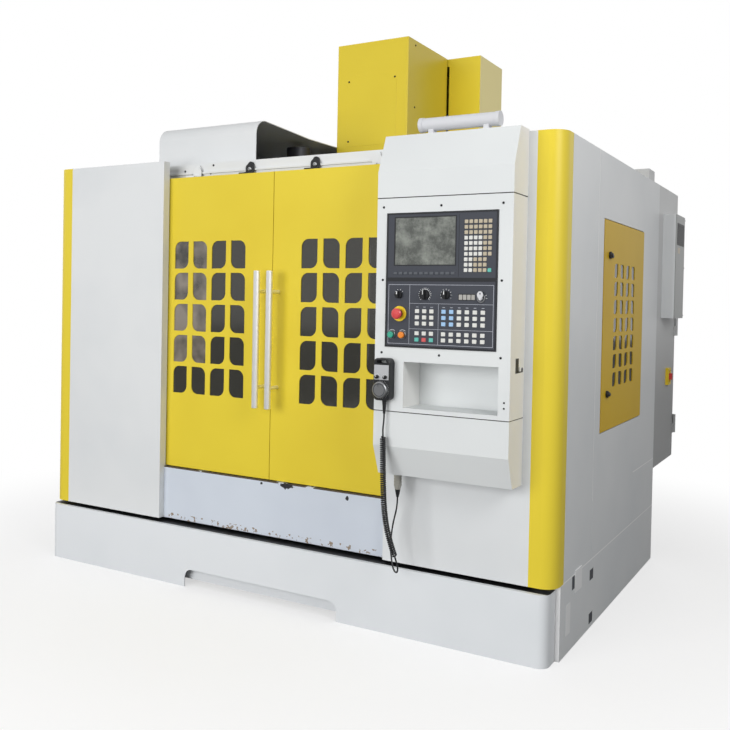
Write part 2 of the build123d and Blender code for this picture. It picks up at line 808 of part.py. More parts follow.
def bearing_block_section(across, up):
    """A carriage block that straddles a rail with a gap all round."""
    low = up + BLOCK_LIFT
    high = up + block_rise()
    body = rectangle((across - BLOCK_WIDTH / 2, across + BLOCK_WIDTH / 2), (low, high))
    half = RAIL_WIDTH / 2 + BLOCK_GAP
    return body - rectangle((across - half, across + half), (low, up + RAIL_SIZE + BLOCK_GAP))


def block_rise():
    """From the foot of a rail to the top of its carriage block."""
    return RAIL_SIZE + BLOCK_CAP


SADDLE_BOTTOM = BED_TOP + block_rise()
SADDLE_TOP = SADDLE_BOTTOM + SADDLE_HEIGHT
TABLE_BOTTOM = SADDLE_TOP + block_rise()
TABLE_TOP = TABLE_BOTTOM + TABLE_SEAT + TABLE_THICKNESS
X_SCREW_Z = SADDLE_TOP + 27
Y_SCREW_Z = BED_TOP + 22
Z_SCREW_Y = COLUMN_FRONT - 8


def bed_casting():
    """The bed: a ribbed trough section with two rail ways, on six levelling pads."""
    half = BED_HALF
    foot = BED_BOTTOM + BED_FOOT_HEIGHT
    section = outline(
        [
            (-BED_FOOT_HALF, BED_BOTTOM),
            (BED_FOOT_HALF, BED_BOTTOM),
            (BED_FOOT_HALF, foot),
            (half, foot + 50),
            (half, BED_TOP - 30),
            (Y_RAIL_X + 60, BED_TOP),
            (TROUGH_HALF, BED_TOP),
            (TROUGH_HALF, BED_TOP - TROUGH_DEPTH),
            (-TROUGH_HALF, BED_TOP - TROUGH_DEPTH),
            (-TROUGH_HALF, BED_TOP),
            (-Y_RAIL_X - 60, BED_TOP),
            (-half, BED_TOP - 30),
            (-half, foot + 50),
            (-BED_FOOT_HALF, foot),
        ]
    )
    bed = along_y(section, (BED_FRONT, BED_BACK))
    seat_y = (Y_RAIL_END + SCREW_SUPPORT, COLUMN_BASE_BACK)
    trough = (-TROUGH_HALF, TROUGH_HALF)
    bed += block(trough, seat_y, (BED_TOP - TROUGH_DEPTH, BED_TOP))
    foot_x = (-COLUMN_BASE_HALF, COLUMN_BASE_HALF)
    bed += block(foot_x, (COLUMN_FRONT, COLUMN_BASE_BACK), (BED_TOP - TROUGH_DEPTH, COLUMN_BOTTOM))
    for side in (-1, 1):
        bed += along_y(rail_section(side * Y_RAIL_X, BED_TOP), (Y_RAIL_START, Y_RAIL_END))
        for y in (BED_FRONT + 90, (BED_FRONT + BED_BACK) / 2, BED_BACK - 90):
            x = side * (BED_FOOT_HALF - 60)
            bed += upright_rod(x, y, (0, PAD_HEIGHT), PAD_RADIUS)
            bed += upright_rod(x, y, (PAD_HEIGHT, BED_BOTTOM), STEM_RADIUS)
    for y in (BED_FRONT, Y_RAIL_END):
        bed += screw_support(y)
    return bed + y_motor()


def screw_support(y):
    """The bearing block of the cross screw in the bed's trough."""
    span = (y, y + SCREW_SUPPORT)
    low = BED_TOP - TROUGH_DEPTH
    support = block((-NUT_SIZE / 2, NUT_SIZE / 2), span, (low, Y_SCREW_Z + 30))
    return support - front_rod(0, span, Y_SCREW_Z, SCREW_RADIUS + RUNNING_FIT)


def column_casting():
    """The column: flared at its foot, sloped at its back, with pocketed sides."""
    side_view = outline(
        [
            (COLUMN_FRONT, COLUMN_BOTTOM),
            (COLUMN_BASE_BACK, COLUMN_BOTTOM),
            (COLUMN_BASE_BACK, COLUMN_SLOPE_Z),
            (COLUMN_TOP_BACK, ENCLOSURE_TOP - 20),
            (COLUMN_TOP_BACK, COLUMN_TOP),
            (COLUMN_FRONT, COLUMN_TOP),
        ]
    )
    front_view = outline(
        [
            (-COLUMN_BASE_HALF, COLUMN_BOTTOM),
            (COLUMN_BASE_HALF, COLUMN_BOTTOM),
            (COLUMN_BASE_HALF, COLUMN_FOOT_Z),
            (COLUMN_HALF, COLUMN_WAIST_Z),
            (COLUMN_HALF, COLUMN_TOP),
            (-COLUMN_HALF, COLUMN_TOP),
            (-COLUMN_HALF, COLUMN_WAIST_Z),
            (-COLUMN_BASE_HALF, COLUMN_FOOT_Z),
        ]
    )
    column = along_x(side_view, (-COLUMN_BASE_HALF, COLUMN_BASE_HALF))
    column &= along_y(front_view, (COLUMN_FRONT, COLUMN_BASE_BACK))
    groove_z = (Z_GROOVE_BOTTOM, COLUMN_TOP - Z_SHELF)
    groove_y = (COLUMN_FRONT, COLUMN_FRONT + Z_GROOVE)
    column -= block((-Z_GROOVE, Z_GROOVE), groove_y, groove_z)
    pocket = outline(
        [
            (POCKET_FRONT, POCKET_BOTTOM),
            (POCKET_BOTTOM_BACK, POCKET_BOTTOM),
            (POCKET_TOP_BACK, POCKET_TOP),
            (POCKET_FRONT, POCKET_TOP),
        ]
    )
    for side in (-1, 1):
        column -= along_x(pocket, sorted_span(side, COLUMN_HALF - POCKET_DEPTH, COLUMN_HALF))
        column += upright_rail(side * Z_RAIL_X)
    shelf = (COLUMN_TOP - Z_SHELF, COLUMN_TOP)
    column += block((-80, 80), (COLUMN_COVER_FRONT + 12, COLUMN_FRONT), shelf)
    half = NUT_SIZE / 2
    bearing_z = (Z_GROOVE_BOTTOM, Z_SCREW_BOTTOM + SCREW_SUPPORT)
    column += block((-half, half), (Z_SCREW_Y - 26, groove_y[1]), bearing_z)
    column -= upright_rod(0, Z_SCREW_Y, (Z_SCREW_BOTTOM, COLUMN_TOP), SCREW_RADIUS + RUNNING_FIT)
    return column + z_motor()


def upright_rail(across):
    """A Z rail, standing forward from the column's face."""
    z = (CARRIAGE_BOTTOM + BLOCK_INSET - Z_TRAVEL, COLUMN_TOP - RAIL_OVERRUN)
    return along_z(mirror(rail_section(across, -COLUMN_FRONT), about=Plane.XZ), z)


def saddle():
    """The saddle: wings for the X rails above, four blocks on the Y rails below."""
    top = SADDLE_TOP
    section = outline(
        [
            (-SADDLE_CORE_HALF, SADDLE_BOTTOM),
            (SADDLE_CORE_HALF, SADDLE_BOTTOM),
            (SADDLE_CORE_HALF, SADDLE_BOTTOM + 45),
            (SADDLE_HALF_WIDTH, top - 55),
            (SADDLE_HALF_WIDTH, top),
            (-SADDLE_HALF_WIDTH, top),
            (-SADDLE_HALF_WIDTH, top - 55),
            (-SADDLE_CORE_HALF, SADDLE_BOTTOM + 45),
        ]
    )
    y = (SPINDLE_Y - SADDLE_HALF_DEPTH, SPINDLE_Y + SADDLE_HALF_DEPTH)
    body = along_y(section, y)
    for side in (-1, 1):
        blocks = bearing_block_section(side * Y_RAIL_X, BED_TOP)
        for start in (y[0], y[1] - BLOCK_LENGTH):
            body += along_y(blocks, (start, start + BLOCK_LENGTH))
        rail = rail_section(SPINDLE_Y + side * X_RAIL_Y, top)
        body += along_x(rail, (-SADDLE_HALF_WIDTH, SADDLE_HALF_WIDTH))
        support_x = sorted_span(side, SADDLE_HALF_WIDTH - SCREW_SUPPORT, SADDLE_HALF_WIDTH)
        support = block(support_x, nut_span(), (top, top + RAIL_SIZE + BLOCK_CAP))
        body += support - side_rod(support_x, SPINDLE_Y, X_SCREW_Z, X_SCREW_RADIUS + RUNNING_FIT)
    nut = block((-NUT_SIZE / 2, NUT_SIZE / 2), nut_span(), (BED_TOP - 12, SADDLE_BOTTOM))
    return body + nut - front_rod(0, nut_span(), Y_SCREW_Z, SCREW_RADIUS + NUT_CLEARANCE)


def sorted_span(side, near, far):
    return (near, far) if side > 0 else (-far, -near)


def nut_span():
    return (SPINDLE_Y - NUT_SIZE / 2, SPINDLE_Y + NUT_SIZE / 2)


def table():
    """The table: a thick plate with T-slots, aprons, and blocks on the X rails."""
    high = TABLE_TOP
    low = high - TABLE_THICKNESS
    y = (SPINDLE_Y - TABLE_DEPTH / 2, SPINDLE_Y + TABLE_DEPTH / 2)
    section = rectangle(y, (low, high))
    for edge in ((y[0], y[0] + TABLE_APRON), (y[1] - TABLE_APRON, y[1])):
        section += rectangle(edge, (low - 30, low))
    for index in range(SLOT_COUNT):
        middle = SPINDLE_Y + (index - (SLOT_COUNT - 1) / 2) * SLOT_PITCH
        section -= t_slot(middle, high)
    top = along_x(section, (-TABLE_LENGTH / 2, TABLE_LENGTH / 2))
    for side in (-1, 1):
        across = SPINDLE_Y + side * X_RAIL_Y
        pad = rectangle((across - TABLE_PAD_HALF, across + TABLE_PAD_HALF), (TABLE_BOTTOM, low))
        top += along_x(pad, (-TABLE_BLOCK_HALF, TABLE_BLOCK_HALF))
        blocks = bearing_block_section(across, SADDLE_TOP)
        for start in (-TABLE_BLOCK_HALF, TABLE_BLOCK_HALF - BLOCK_LENGTH):
            top += along_x(blocks, (start, start + BLOCK_LENGTH))
    nut_x = (-NUT_SIZE / 2, NUT_SIZE / 2)
    nut = block(nut_x, nut_span(), (SADDLE_TOP + 4, low))
    return top + nut - side_rod(nut_x, SPINDLE_Y, X_SCREW_Z, X_SCREW_RADIUS + NUT_CLEARANCE)


def t_slot(middle, high):
    neck = rectangle((middle - SLOT_WIDTH / 2, middle + SLOT_WIDTH / 2), (high - SLOT_NECK, high))
    foot = (high - SLOT_NECK - SLOT_FOOT_HEIGHT, high - SLOT_NECK)
    return neck + rectangle((middle - SLOT_FOOT_WIDTH / 2, middle + SLOT_FOOT_WIDTH / 2), foot)


def spindle_head():
    """The head casting with its carriage plate, blocks, nut bracket and nose."""
    plate_front = HEAD_BACK - CARRIAGE_THICKNESS
    side_view = outline(
        [
            (HEAD_FRONT, HEAD_BOTTOM),
            (HEAD_FRONT, HEAD_TOP - 70),
            (HEAD_FRONT + 50, HEAD_TOP),
            (plate_front, HEAD_TOP),
            (plate_front, HEAD_BOTTOM + 70),
            (SPINDLE_Y + 170, HEAD_BOTTOM),
        ]
    )
    head = along_x(side_view, (-HEAD_HALF, HEAD_HALF))
    upright = [edge for edge in head.edges().filter_by(Axis.Z) if edge.center().Y < HEAD_FRONT + 1]
    head = fillet(upright, 40)
    plate = block((-CARRIAGE_HALF, CARRIAGE_HALF), (plate_front, HEAD_BACK), (CARRIAGE_BOTTOM, CARRIAGE_TOP))
    head += plate
    upper = CARRIAGE_TOP - BLOCK_INSET - BLOCK_LENGTH
    for side in (-1, 1):
        section = mirror(bearing_block_section(side * Z_RAIL_X, -COLUMN_FRONT), about=Plane.XZ)
        for start in (CARRIAGE_BOTTOM + BLOCK_INSET, upper):
            head += along_z(section, (start, start + BLOCK_LENGTH))
    half = NUT_SIZE / 2
    head += block((-half, half), (HEAD_BACK, Z_SCREW_Y + half), (upper, upper + BLOCK_LENGTH))
    head += upright_rod(0, SPINDLE_Y, (HEAD_BOTTOM - NOSE_LENGTH, HEAD_BOTTOM), NOSE_RADIUS)
    bore = (HEAD_BOTTOM - NOSE_LENGTH, HEAD_TOP - 40)
    head -= upright_rod(0, SPINDLE_Y, bore, SPINDLE_SHAFT_RADIUS + RUNNING_FIT)
    head -= upright_rod(0, Z_SCREW_Y, (CARRIAGE_BOTTOM, CARRIAGE_TOP), SCREW_RADIUS + NUT_CLEARANCE)
    return head


def spindle():
    """The spindle: shaft, nose flange with two drive keys, and its tapered bore."""
    nose = HEAD_BOTTOM - NOSE_LENGTH - 1
    face = nose - SPINDLE_STICKOUT
    top = HEAD_TOP - 42
    small = TAPER_RADIUS - TAPER_LENGTH * 7 / 48
    profile = outline(
        [
            (TAPER_RADIUS, face),
            (SPINDLE_RADIUS, face),
            (SPINDLE_RADIUS, nose),
            (SPINDLE_SHAFT_RADIUS, nose),
            (SPINDLE_SHAFT_RADIUS, top),
            (DRAWBAR_RADIUS, top),
            (DRAWBAR_RADIUS, face + TAPER_LENGTH),
            (small, face + TAPER_LENGTH),
        ]
    )
    body = revolve(Plane.XZ * profile, axis=Axis.Z)
    for side in (-1, 1):
        key = block(sorted_span(side, TAPER_RADIUS + 3, SPINDLE_RADIUS - 2), (-8, 8), (face - 8, face))
        body += key
    return Pos(0, SPINDLE_Y, 0) * body


def spindle_motor():
    """The spindle motor: a square finned body with a terminal box at its side."""
    half = MOTOR_SIZE / 2
    body = Pos(0, MOTOR_Y) * RectangleRounded(MOTOR_SIZE, MOTOR_SIZE, MOTOR_CORNER)
    z = (HEAD_TOP, HEAD_TOP + MOTOR_HEIGHT)
    motor = along_z(body, z)
    ring = body - offset(body, amount=-FIN_DEPTH)
    for index in range(FIN_COUNT):
        low = z[0] + FIN_START + index * FIN_PITCH
        motor -= along_z(ring, (low, low + FIN_WIDTH))
    terminal_y = (MOTOR_Y - TERMINAL_SIZE / 2, MOTOR_Y + TERMINAL_SIZE / 2)
    terminal_z = (z[1] - TERMINAL_DROP - TERMINAL_SIZE, z[1] - TERMINAL_DROP)
    return motor + block((half, half + TERMINAL_PROUD), terminal_y, terminal_z)


def z_motor():
    z = (COLUMN_TOP, COLUMN_TOP + Z_SERVO_LENGTH)
    return along_z(Pos(0, Z_SCREW_Y) * RectangleRounded(SERVO_SIZE, SERVO_SIZE, SERVO_CORNER), z)


def y_motor():
    shape = Pos(0, Y_SCREW_Z) * RectangleRounded(SERVO_SIZE, SERVO_SIZE, SERVO_CORNER)
    return along_y(shape, (BED_FRONT - SERVO_LENGTH, BED_FRONT))


def x_motor():
    x = (SADDLE_HALF_WIDTH, SADDLE_HALF_WIDTH + SERVO_LENGTH)
    shape = RectangleRounded(X_SERVO_SIZE, X_SERVO_SIZE - 4, SERVO_CORNER)
    return along_x(Pos(SPINDLE_Y, X_SCREW_Z - 6) * shape, x)


def y_ballscrew():
    span = (BED_FRONT + END_PLAY, Y_RAIL_END + SCREW_SUPPORT - END_PLAY)
    return front_rod(0, span, Y_SCREW_Z, SCREW_RADIUS)


def z_ballscrew():
    return upright_rod(0, Z_SCREW_Y, (Z_SCREW_BOTTOM + 1, COLUMN_TOP - 1), SCREW_RADIUS)


def x_ballscrew():
    x = (-SADDLE_HALF_WIDTH, SADDLE_HALF_WIDTH - END_PLAY)
    return side_rod(x, SPINDLE_Y, X_SCREW_Z, X_SCREW_RADIUS)


# Covers above the roof line


def head_cover():
    """The tall cover that rides on the head: front, sides and top, open behind."""
    x = (-HEAD_COVER_HALF, HEAD_COVER_HALF)
    y = (HEAD_COVER_FRONT, HEAD_COVER_BACK)
    z = (HEAD_TOP, COVER_TOP)
    cover = block(x, y, z)
    upright = [edge for edge in cover.edges().filter_by(Axis.Z) if edge.center().Y < y[0] + 1]
    cover = fillet(upright, 6)
    cover -= block((x[0] + SHEET, x[1] - SHEET), (y[0] + SHEET, y[1]), (z[0] + SHEET, z[1] - SHEET))
    inside = (x[0] + COVER_FLANGE, x[1] - COVER_FLANGE)
    cover -= block(inside, (y[0] + COVER_FLANGE, y[1]), (z[0], z[0] + SHEET))
    plate_front = HEAD_BACK - CARRIAGE_THICKNESS - SHEET
    cover -= block((x[0] + SHEET, x[1] - SHEET), (plate_front, y[1]), (z[0], z[0] + SHEET))
    return cover - front_hatch(x, z)


def front_hatch(x, z):
    """The outline groove of the screwed plate on the front of the head cover."""
    top = z[1] - HATCH_INSET
    outer = rectangle((x[0] + HATCH_INSET, x[1] - HATCH_INSET), (top - HATCH_HEIGHT, top))
    groove = outer - offset(outer, amount=-SEAM_WIDTH)
    return along_y(groove, (HEAD_COVER_FRONT, HEAD_COVER_FRONT + SEAM_DEPTH))


def column_cover():
    """The fixed box over the column's top, open in front behind the head cover."""
    x = (-COLUMN_COVER_HALF, COLUMN_COVER_HALF)
    y = (COLUMN_COVER_FRONT, COLUMN_COVER_BACK)
    z = (ENCLOSURE_TOP, COVER_TOP)
    cover = block(x, y, z)
    cover -= block((x[0] + SHEET, x[1] - SHEET), (y[0] + SHEET, y[1] - SHEET), (z[0], z[1] - SHEET))
    opening = (-COVER_OPENING_HALF, COVER_OPENING_HALF)
    return cover - block(opening, (y[0], y[0] + SHEET), (z[0], z[1] - 40))


def magazine_hood():
    """The sheet hood over the tool magazine, with its right side open."""
    top_back = COLUMN_COVER_FRONT - CASTING_GAP
    side_view = outline(
        [
            (HOOD_FRONT, ENCLOSURE_TOP - SHEET),
            (top_back, ENCLOSURE_TOP - SHEET),
            (top_back, HOOD_REAR_TOP),
            (HOOD_KNEE_Y, HOOD_REAR_TOP),
            (HOOD_FRONT, HOOD_TOP),
        ]
    )
    shell = along_x(side_view, (HOOD_LEFT, HOOD_RIGHT))
    shell = fillet(upper_front_edge(shell), HOOD_CORNER)
    inner = offset(side_view, amount=-SHEET)
    hollow = along_x(inner, (HOOD_LEFT + SHEET, HOOD_RIGHT))
    hollow = fillet(upper_front_edge(hollow), HOOD_CORNER - SHEET)
    floor = block(
        (HOOD_LEFT + SHEET, HOOD_RIGHT),
        (HOOD_FRONT + SHEET, top_back - SHEET),
        (ENCLOSURE_TOP - FOLD, ENCLOSURE_TOP + FOLD),
    )
    over_deck = block(
        (HOOD_LEFT, HOOD_RIGHT),
        (REAR_DECK_START - SHEET, top_back),
        (ENCLOSURE_TOP - SHEET, ENCLOSURE_TOP),
    )
    return shell - hollow - floor - over_deck


def upper_front_edge(solid):
    """The long edge where the hood's front meets its top."""
    along = solid.edges().filter_by(Axis.X)
    return [e for e in along if e.center().Y < HOOD_FRONT + 9 and e.center().Z > HOOD_TOP - 9]


# Tool magazine and changer


def tool_magazine():
    """The magazine wheel: a plate with a hub and a ring of tool pots."""
    plate_x = (MAGAZINE_X, MAGAZINE_X + MAGAZINE_PLATE)
    wheel = side_rod(plate_x, SPINDLE_Y, MAGAZINE_Z, MAGAZINE_RADIUS - 12)
    hub_x = (MAGAZINE_X - 50, plate_x[1] + 20)
    wheel += side_rod(hub_x, SPINDLE_Y, MAGAZINE_Z, AXLE_RADIUS + 25)
    pot = Circle(POT_RADIUS)
    bore = Circle(POT_BORE)
    pots = Sketch()
    bores = Sketch()
    for index in range(POT_COUNT):
        angle = math.radians(360 * index / POT_COUNT - 90)
        place = Pos(SPINDLE_Y + POT_CIRCLE * math.cos(angle), MAGAZINE_Z + POT_CIRCLE * math.sin(angle))
        pots += place * pot
        bores += place * bore
    wheel += along_x(pots, (MAGAZINE_X - POT_LENGTH, plate_x[1]))
    wheel -= along_x(bores, (MAGAZINE_X - POT_LENGTH, MAGAZINE_X - 12))
    return wheel - side_rod(hub_x, SPINDLE_Y, MAGAZINE_Z, AXLE_RADIUS + RUNNING_FIT)


def changer_gearbox():
    """The cam box of the tool changer, its motor, bracket and magazine axle."""
    x = (CHANGER_X - CHANGER_WIDTH / 2, CHANGER_X + CHANGER_WIDTH / 2)
    y = (SPINDLE_Y - CHANGER_DEPTH / 2, SPINDLE_Y + CHANGER_DEPTH / 2)
    box = block(x, y, (CHANGER_BOTTOM, CHANGER_TOP))
    box = chamfer(box.edges().filter_by(Axis.Z), 18)
    motor_z = (CHANGER_TOP, CHANGER_MOTOR_TOP)
    box += upright_rod(CHANGER_X, CHANGER_MOTOR_Y, motor_z, CHANGER_MOTOR_RADIUS)
    bracket_z = (CHANGER_BOTTOM + 60, CHANGER_BOTTOM + 230)
    box += block((x[0], -COLUMN_HALF + 80), (y[1] - 20, COLUMN_FRONT), bracket_z)
    box += side_rod((MAGAZINE_X - 52, x[0]), SPINDLE_Y, MAGAZINE_Z, AXLE_RADIUS)
    bore_z = (CHANGER_BOTTOM, CHANGER_BOTTOM + CHANGER_STROKE + CHANGER_GUIDE + 20)
    return box - upright_rod(CHANGER_X, SPINDLE_Y, bore_z, CHANGER_SHAFT_RADIUS + RUNNING_FIT)


def arm_top():
    return HEAD_BOTTOM - NOSE_LENGTH - SPINDLE_STICKOUT - ARM_GAP_BELOW_NOSE - 9


def changer_shaft():
    """The shaft that pushes the arm down, with a collar to hang it on."""
    top = CHANGER_BOTTOM + CHANGER_STROKE + CHANGER_GUIDE
    under_arm = arm_top() - ARM_THICKNESS
    shaft = upright_rod(CHANGER_X, SPINDLE_Y, (arm_top(), top), CHANGER_SHAFT_RADIUS)
    pivot = upright_rod(CHANGER_X, SPINDLE_Y, (under_arm - 4, arm_top()), PIVOT_RADIUS)
    cap = upright_rod(CHANGER_X, SPINDLE_Y, (under_arm - 8, under_arm - ARM_PLAY), PIVOT_RADIUS + 8)
    return shaft + pivot + cap


def changer_arm():
    """The double arm, parked along Y, with an open gripper at each end."""
    arm = SlotCenterToCenter(2 * ARM_REACH, 2 * ARM_HALF_WIDTH)
    arm = Rot(0, 0, 90) * arm
    arm += Circle(ARM_HALF_WIDTH + 16)
    for side in (-1, 1):
        arm -= Pos(0, side * ARM_REACH) * Circle(GRIP_RADIUS)
        arm -= Pos(side * ARM_HALF_WIDTH, side * ARM_REACH) * Rectangle(2 * ARM_HALF_WIDTH, 46)
    arm -= Circle(PIVOT_RADIUS + RUNNING_FIT)
    z = (arm_top() - ARM_THICKNESS + ARM_PLAY, arm_top() - ARM_PLAY)
    return Pos(CHANGER_X, SPINDLE_Y) * along_z(arm, z)


# Electrical cabinet


def electrical_cabinet():
    """The cabinet at the right rear, open at the back, with a box on its roof."""
    x = (CABINET_INNER_X, HALF_WIDTH)
    y = (ENCLOSURE_DEPTH, CABINET_BACK)
    z = (CABINET_BOTTOM, ENCLOSURE_TOP)
    box = block(x, y, z)
    box -= block((x[0] + SHEET, x[1] - SHEET), (y[0] + SHEET, y[1]), (z[0] + SHEET, z[1] - SHEET))
    middle = HALF_WIDTH - ROOF_BOX_INSET
    roof_x = (middle - ROOF_BOX_SIZE[0] / 2, middle + ROOF_BOX_SIZE[0] / 2)
    roof_y = (ROOF_BOX_Y - ROOF_BOX_SIZE[1] / 2, ROOF_BOX_Y + ROOF_BOX_SIZE[1] / 2)
    box += block(roof_x, roof_y, (z[1], z[1] + ROOF_BOX_SIZE[2]))
    span = x[1] - x[0] - MODULE_LEFT_MARGIN - MODULE_RIGHT_MARGIN
    width = (span - (MODULE_COUNT - 1) * MODULE_GAP) / MODULE_COUNT
    module_y = (y[0] + SHEET, y[0] + SHEET + MODULE_DEPTH)
    module_z = (z[1] - MODULE_TOP_GAP - MODULE_HEIGHT, z[1] - MODULE_TOP_GAP)
    for index in range(MODULE_COUNT):
        left = x[0] + MODULE_LEFT_MARGIN + index * (width + MODULE_GAP)
        box += block((left, left + width), module_y, module_z)
    box -= side_rod((x[1] - SHEET, x[1]), SWITCH_Y, SWITCH_Z, 6 + RUNNING_FIT)
    for middle in CABINET_HINGE_HEIGHTS:
        box += cabinet_hinge_pin(middle)
    return box


def cabinet_hinge_place():
    return HALF_WIDTH + CABINET_HINGE_OFFSET, CABINET_BACK + CABINET_DOOR_GAP + CABINET_DOOR_THICKNESS / 2


def cabinet_hinge_pin(middle):
    """The fixed half of a lift-off hinge: knuckle, ear and upright pin."""
    pin_x, pin_y = cabinet_hinge_place()
    low = middle - CABINET_HINGE_LENGTH
    knuckle = upright_rod(pin_x, pin_y, (low, middle - 0.5), CABINET_HINGE_RADIUS)
    ear = block((HALF_WIDTH - SHEET, pin_x), (CABINET_BACK - 18, pin_y), (low, middle - 0.5))
    ear -= block((HALF_WIDTH - SHEET, HALF_WIDTH), (CABINET_BACK, pin_y), (low, middle))
    pin = upright_rod(pin_x, pin_y, (middle - 0.5, middle + CABINET_HINGE_LENGTH - 6), CABINET_PIN_RADIUS)
    return knuckle + ear + pin


def cabinet_door():
    """The folded rear door with its knuckles and a recessed grip."""
    x = (CABINET_INNER_X, HALF_WIDTH - 2)
    y = (CABINET_BACK + CABINET_DOOR_GAP, CABINET_BACK + CABINET_DOOR_GAP + CABINET_DOOR_THICKNESS)
    z = (CABINET_BOTTOM, ENCLOSURE_TOP)
    door = block(x, y, z)
    door -= block((x[0] + SHEET, x[1] - SHEET), (y[0], y[1] - SHEET), (z[0] + SHEET, z[1] - SHEET))
    pin_x, pin_y = cabinet_hinge_place()
    for middle in CABINET_HINGE_HEIGHTS:
        span = (middle, middle + CABINET_HINGE_LENGTH)
        knuckle = upright_rod(pin_x, pin_y, span, CABINET_HINGE_RADIUS)
        knuckle += block((x[1] - SHEET, pin_x), (pin_y, y[1]), span)
        bore = (middle, middle + CABINET_HINGE_LENGTH - 5)
        knuckle -= upright_rod(pin_x, pin_y, bore, CABINET_PIN_RADIUS + RUNNING_FIT)
        door += knuckle
    grip_x = (x[0] + CABINET_GRIP_WIDTH, x[0] + 2 * CABINET_GRIP_WIDTH)
    grip_z = (CABINET_GRIP_Z, CABINET_GRIP_Z + CABINET_GRIP_LENGTH)
    grip = block(grip_x, (y[1], y[1] + CABINET_GRIP_PROUD), grip_z)
    grip = fillet(grip.edges().filter_by(Axis.Z), 8)
    return door + grip


def cooling_unit():
    """The cabinet cooler on the side, with louvres near its top."""
    x = (HALF_WIDTH, HALF_WIDTH + COOLER_DEPTH)
    y = (COOLER_Y, COOLER_Y + COOLER_LENGTH)
    z = (COOLER_BOTTOM, COOLER_BOTTOM + COOLER_HEIGHT)
    unit = block(x, y, z)
    outer = [edge for edge in unit.edges().filter_by(Axis.Z) if edge.center().X > x[1] - 1]
    unit = fillet(outer, COOLER_CORNER)
    for index in range(LOUVRE_COUNT):
        low = z[1] - 60 - index * 18
        unit -= block((x[1] - 8, x[1]), (y[0] + 34, y[1] - 34), (low, low + 9))
    return unit


def main_switch_knob():
    """The rotary main switch: round base with a bar grip, on a shaft."""
    x = HALF_WIDTH
    knob = side_rod((x + 0.5, x + 12), SWITCH_Y, SWITCH_Z, SWITCH_RADIUS)
    grip_z = (SWITCH_Z - SWITCH_RADIUS, SWITCH_Z + SWITCH_RADIUS)
    knob += block((x + 12, x + 30), (SWITCH_Y - 6, SWITCH_Y + 6), grip_z)
    return knob + side_rod((x - SHEET - 4, x + 1), SWITCH_Y, SWITCH_Z, 6)


# Control pendant


def pendant_outline():
    """Side view of the pendant, from its slanted cap to its tucked-in foot."""
    return outline(
        [
            (FRONT, PENDANT_BOTTOM),
            (FRONT, PENDANT_TOP),
            (-PENDANT_TOP_DEPTH, PENDANT_TOP),
            (-PENDANT_DEPTH, PENDANT_SLANT),
            (-PENDANT_DEPTH, PENDANT_BEND),
            (-PENDANT_BOTTOM_DEPTH, PENDANT_BOTTOM),
        ]
    )


def pendant_housing():
    """The pendant's sheet housing with shelf, unit cut-out and two seams."""
    x = (PENDANT_LEFT, PENDANT_RIGHT)
    face = -PENDANT_DEPTH
    shell = along_x(pendant_outline(), x)
    inner = offset(pendant_outline(), amount=-SHEET, kind=Kind.INTERSECTION)
    hollow = along_x(inner, (x[0] + SHEET, x[1] - SHEET))
    shelf = ((SHELF_LEFT, SHELF_RIGHT), (face, -SHEET), (SHELF_BOTTOM, SHELF_TOP))
    shelf_wall = block(
        (SHELF_LEFT - SHEET, SHELF_RIGHT + SHEET),
        (face, -SHEET),
        (SHELF_BOTTOM - SHEET, SHELF_TOP + SHEET),
    )
    housing = shell - hollow + shelf_wall - block(*shelf)
    unit_x = (UNIT_LEFT + UNIT_BODY_INSET, UNIT_LEFT + UNIT_WIDTH - UNIT_BODY_INSET)
    unit_z = (UNIT_TOP - UNIT_HEIGHT - PANEL_HEIGHT + UNIT_BODY_INSET, UNIT_TOP - UNIT_BODY_INSET)
    housing -= block(unit_x, (face, face + SHEET), unit_z)
    for seam in (PENDANT_LOWER_SEAM, PENDANT_UPPER_SEAM):
        z = (seam - SEAM_WIDTH, seam)
        inner_x = (x[0] + SEAM_DEPTH, x[1] - SEAM_DEPTH)
        housing -= block(x, (face, FRONT), z) - block(inner_x, (face + SEAM_DEPTH, FRONT), z)
    housing -= hook_slot()
    socket_z = (PENDANT_BOTTOM - 6, PENDANT_BOTTOM)
    return housing + upright_rod(CONNECTOR_X, CONNECTOR_Y, socket_z, CONNECTOR_RADIUS + 4)


def hook_slot():
    """The L-shaped keyhole slot in the pendant's right cheek."""
    x = (PENDANT_RIGHT - SHEET, PENDANT_RIGHT)
    back = HOOK_Y + HOOK_LENGTH
    upright = rectangle((HOOK_Y, HOOK_Y + HOOK_WIDTH), (HOOK_Z, HOOK_Z + HOOK_HEIGHT))
    foot = rectangle((HOOK_Y, back), (HOOK_Z, HOOK_Z + HOOK_WIDTH))
    toe = rectangle((back - HOOK_TOE_WIDTH, back), (HOOK_Z, HOOK_Z + HOOK_TOE_HEIGHT))
    return along_x(upright + foot + toe, x)


def key_grid(left, top, columns, rows, size, pitch):
    """Sketch of a block of keys, placed from the unit's top left corner."""
    shapes = []
    for column in range(columns):
        for row in range(rows):
            place = Pos(UNIT_LEFT + left + column * pitch[0], UNIT_TOP - top - row * pitch[1])
            shapes.append(place * Rectangle(*size))
    return shapes


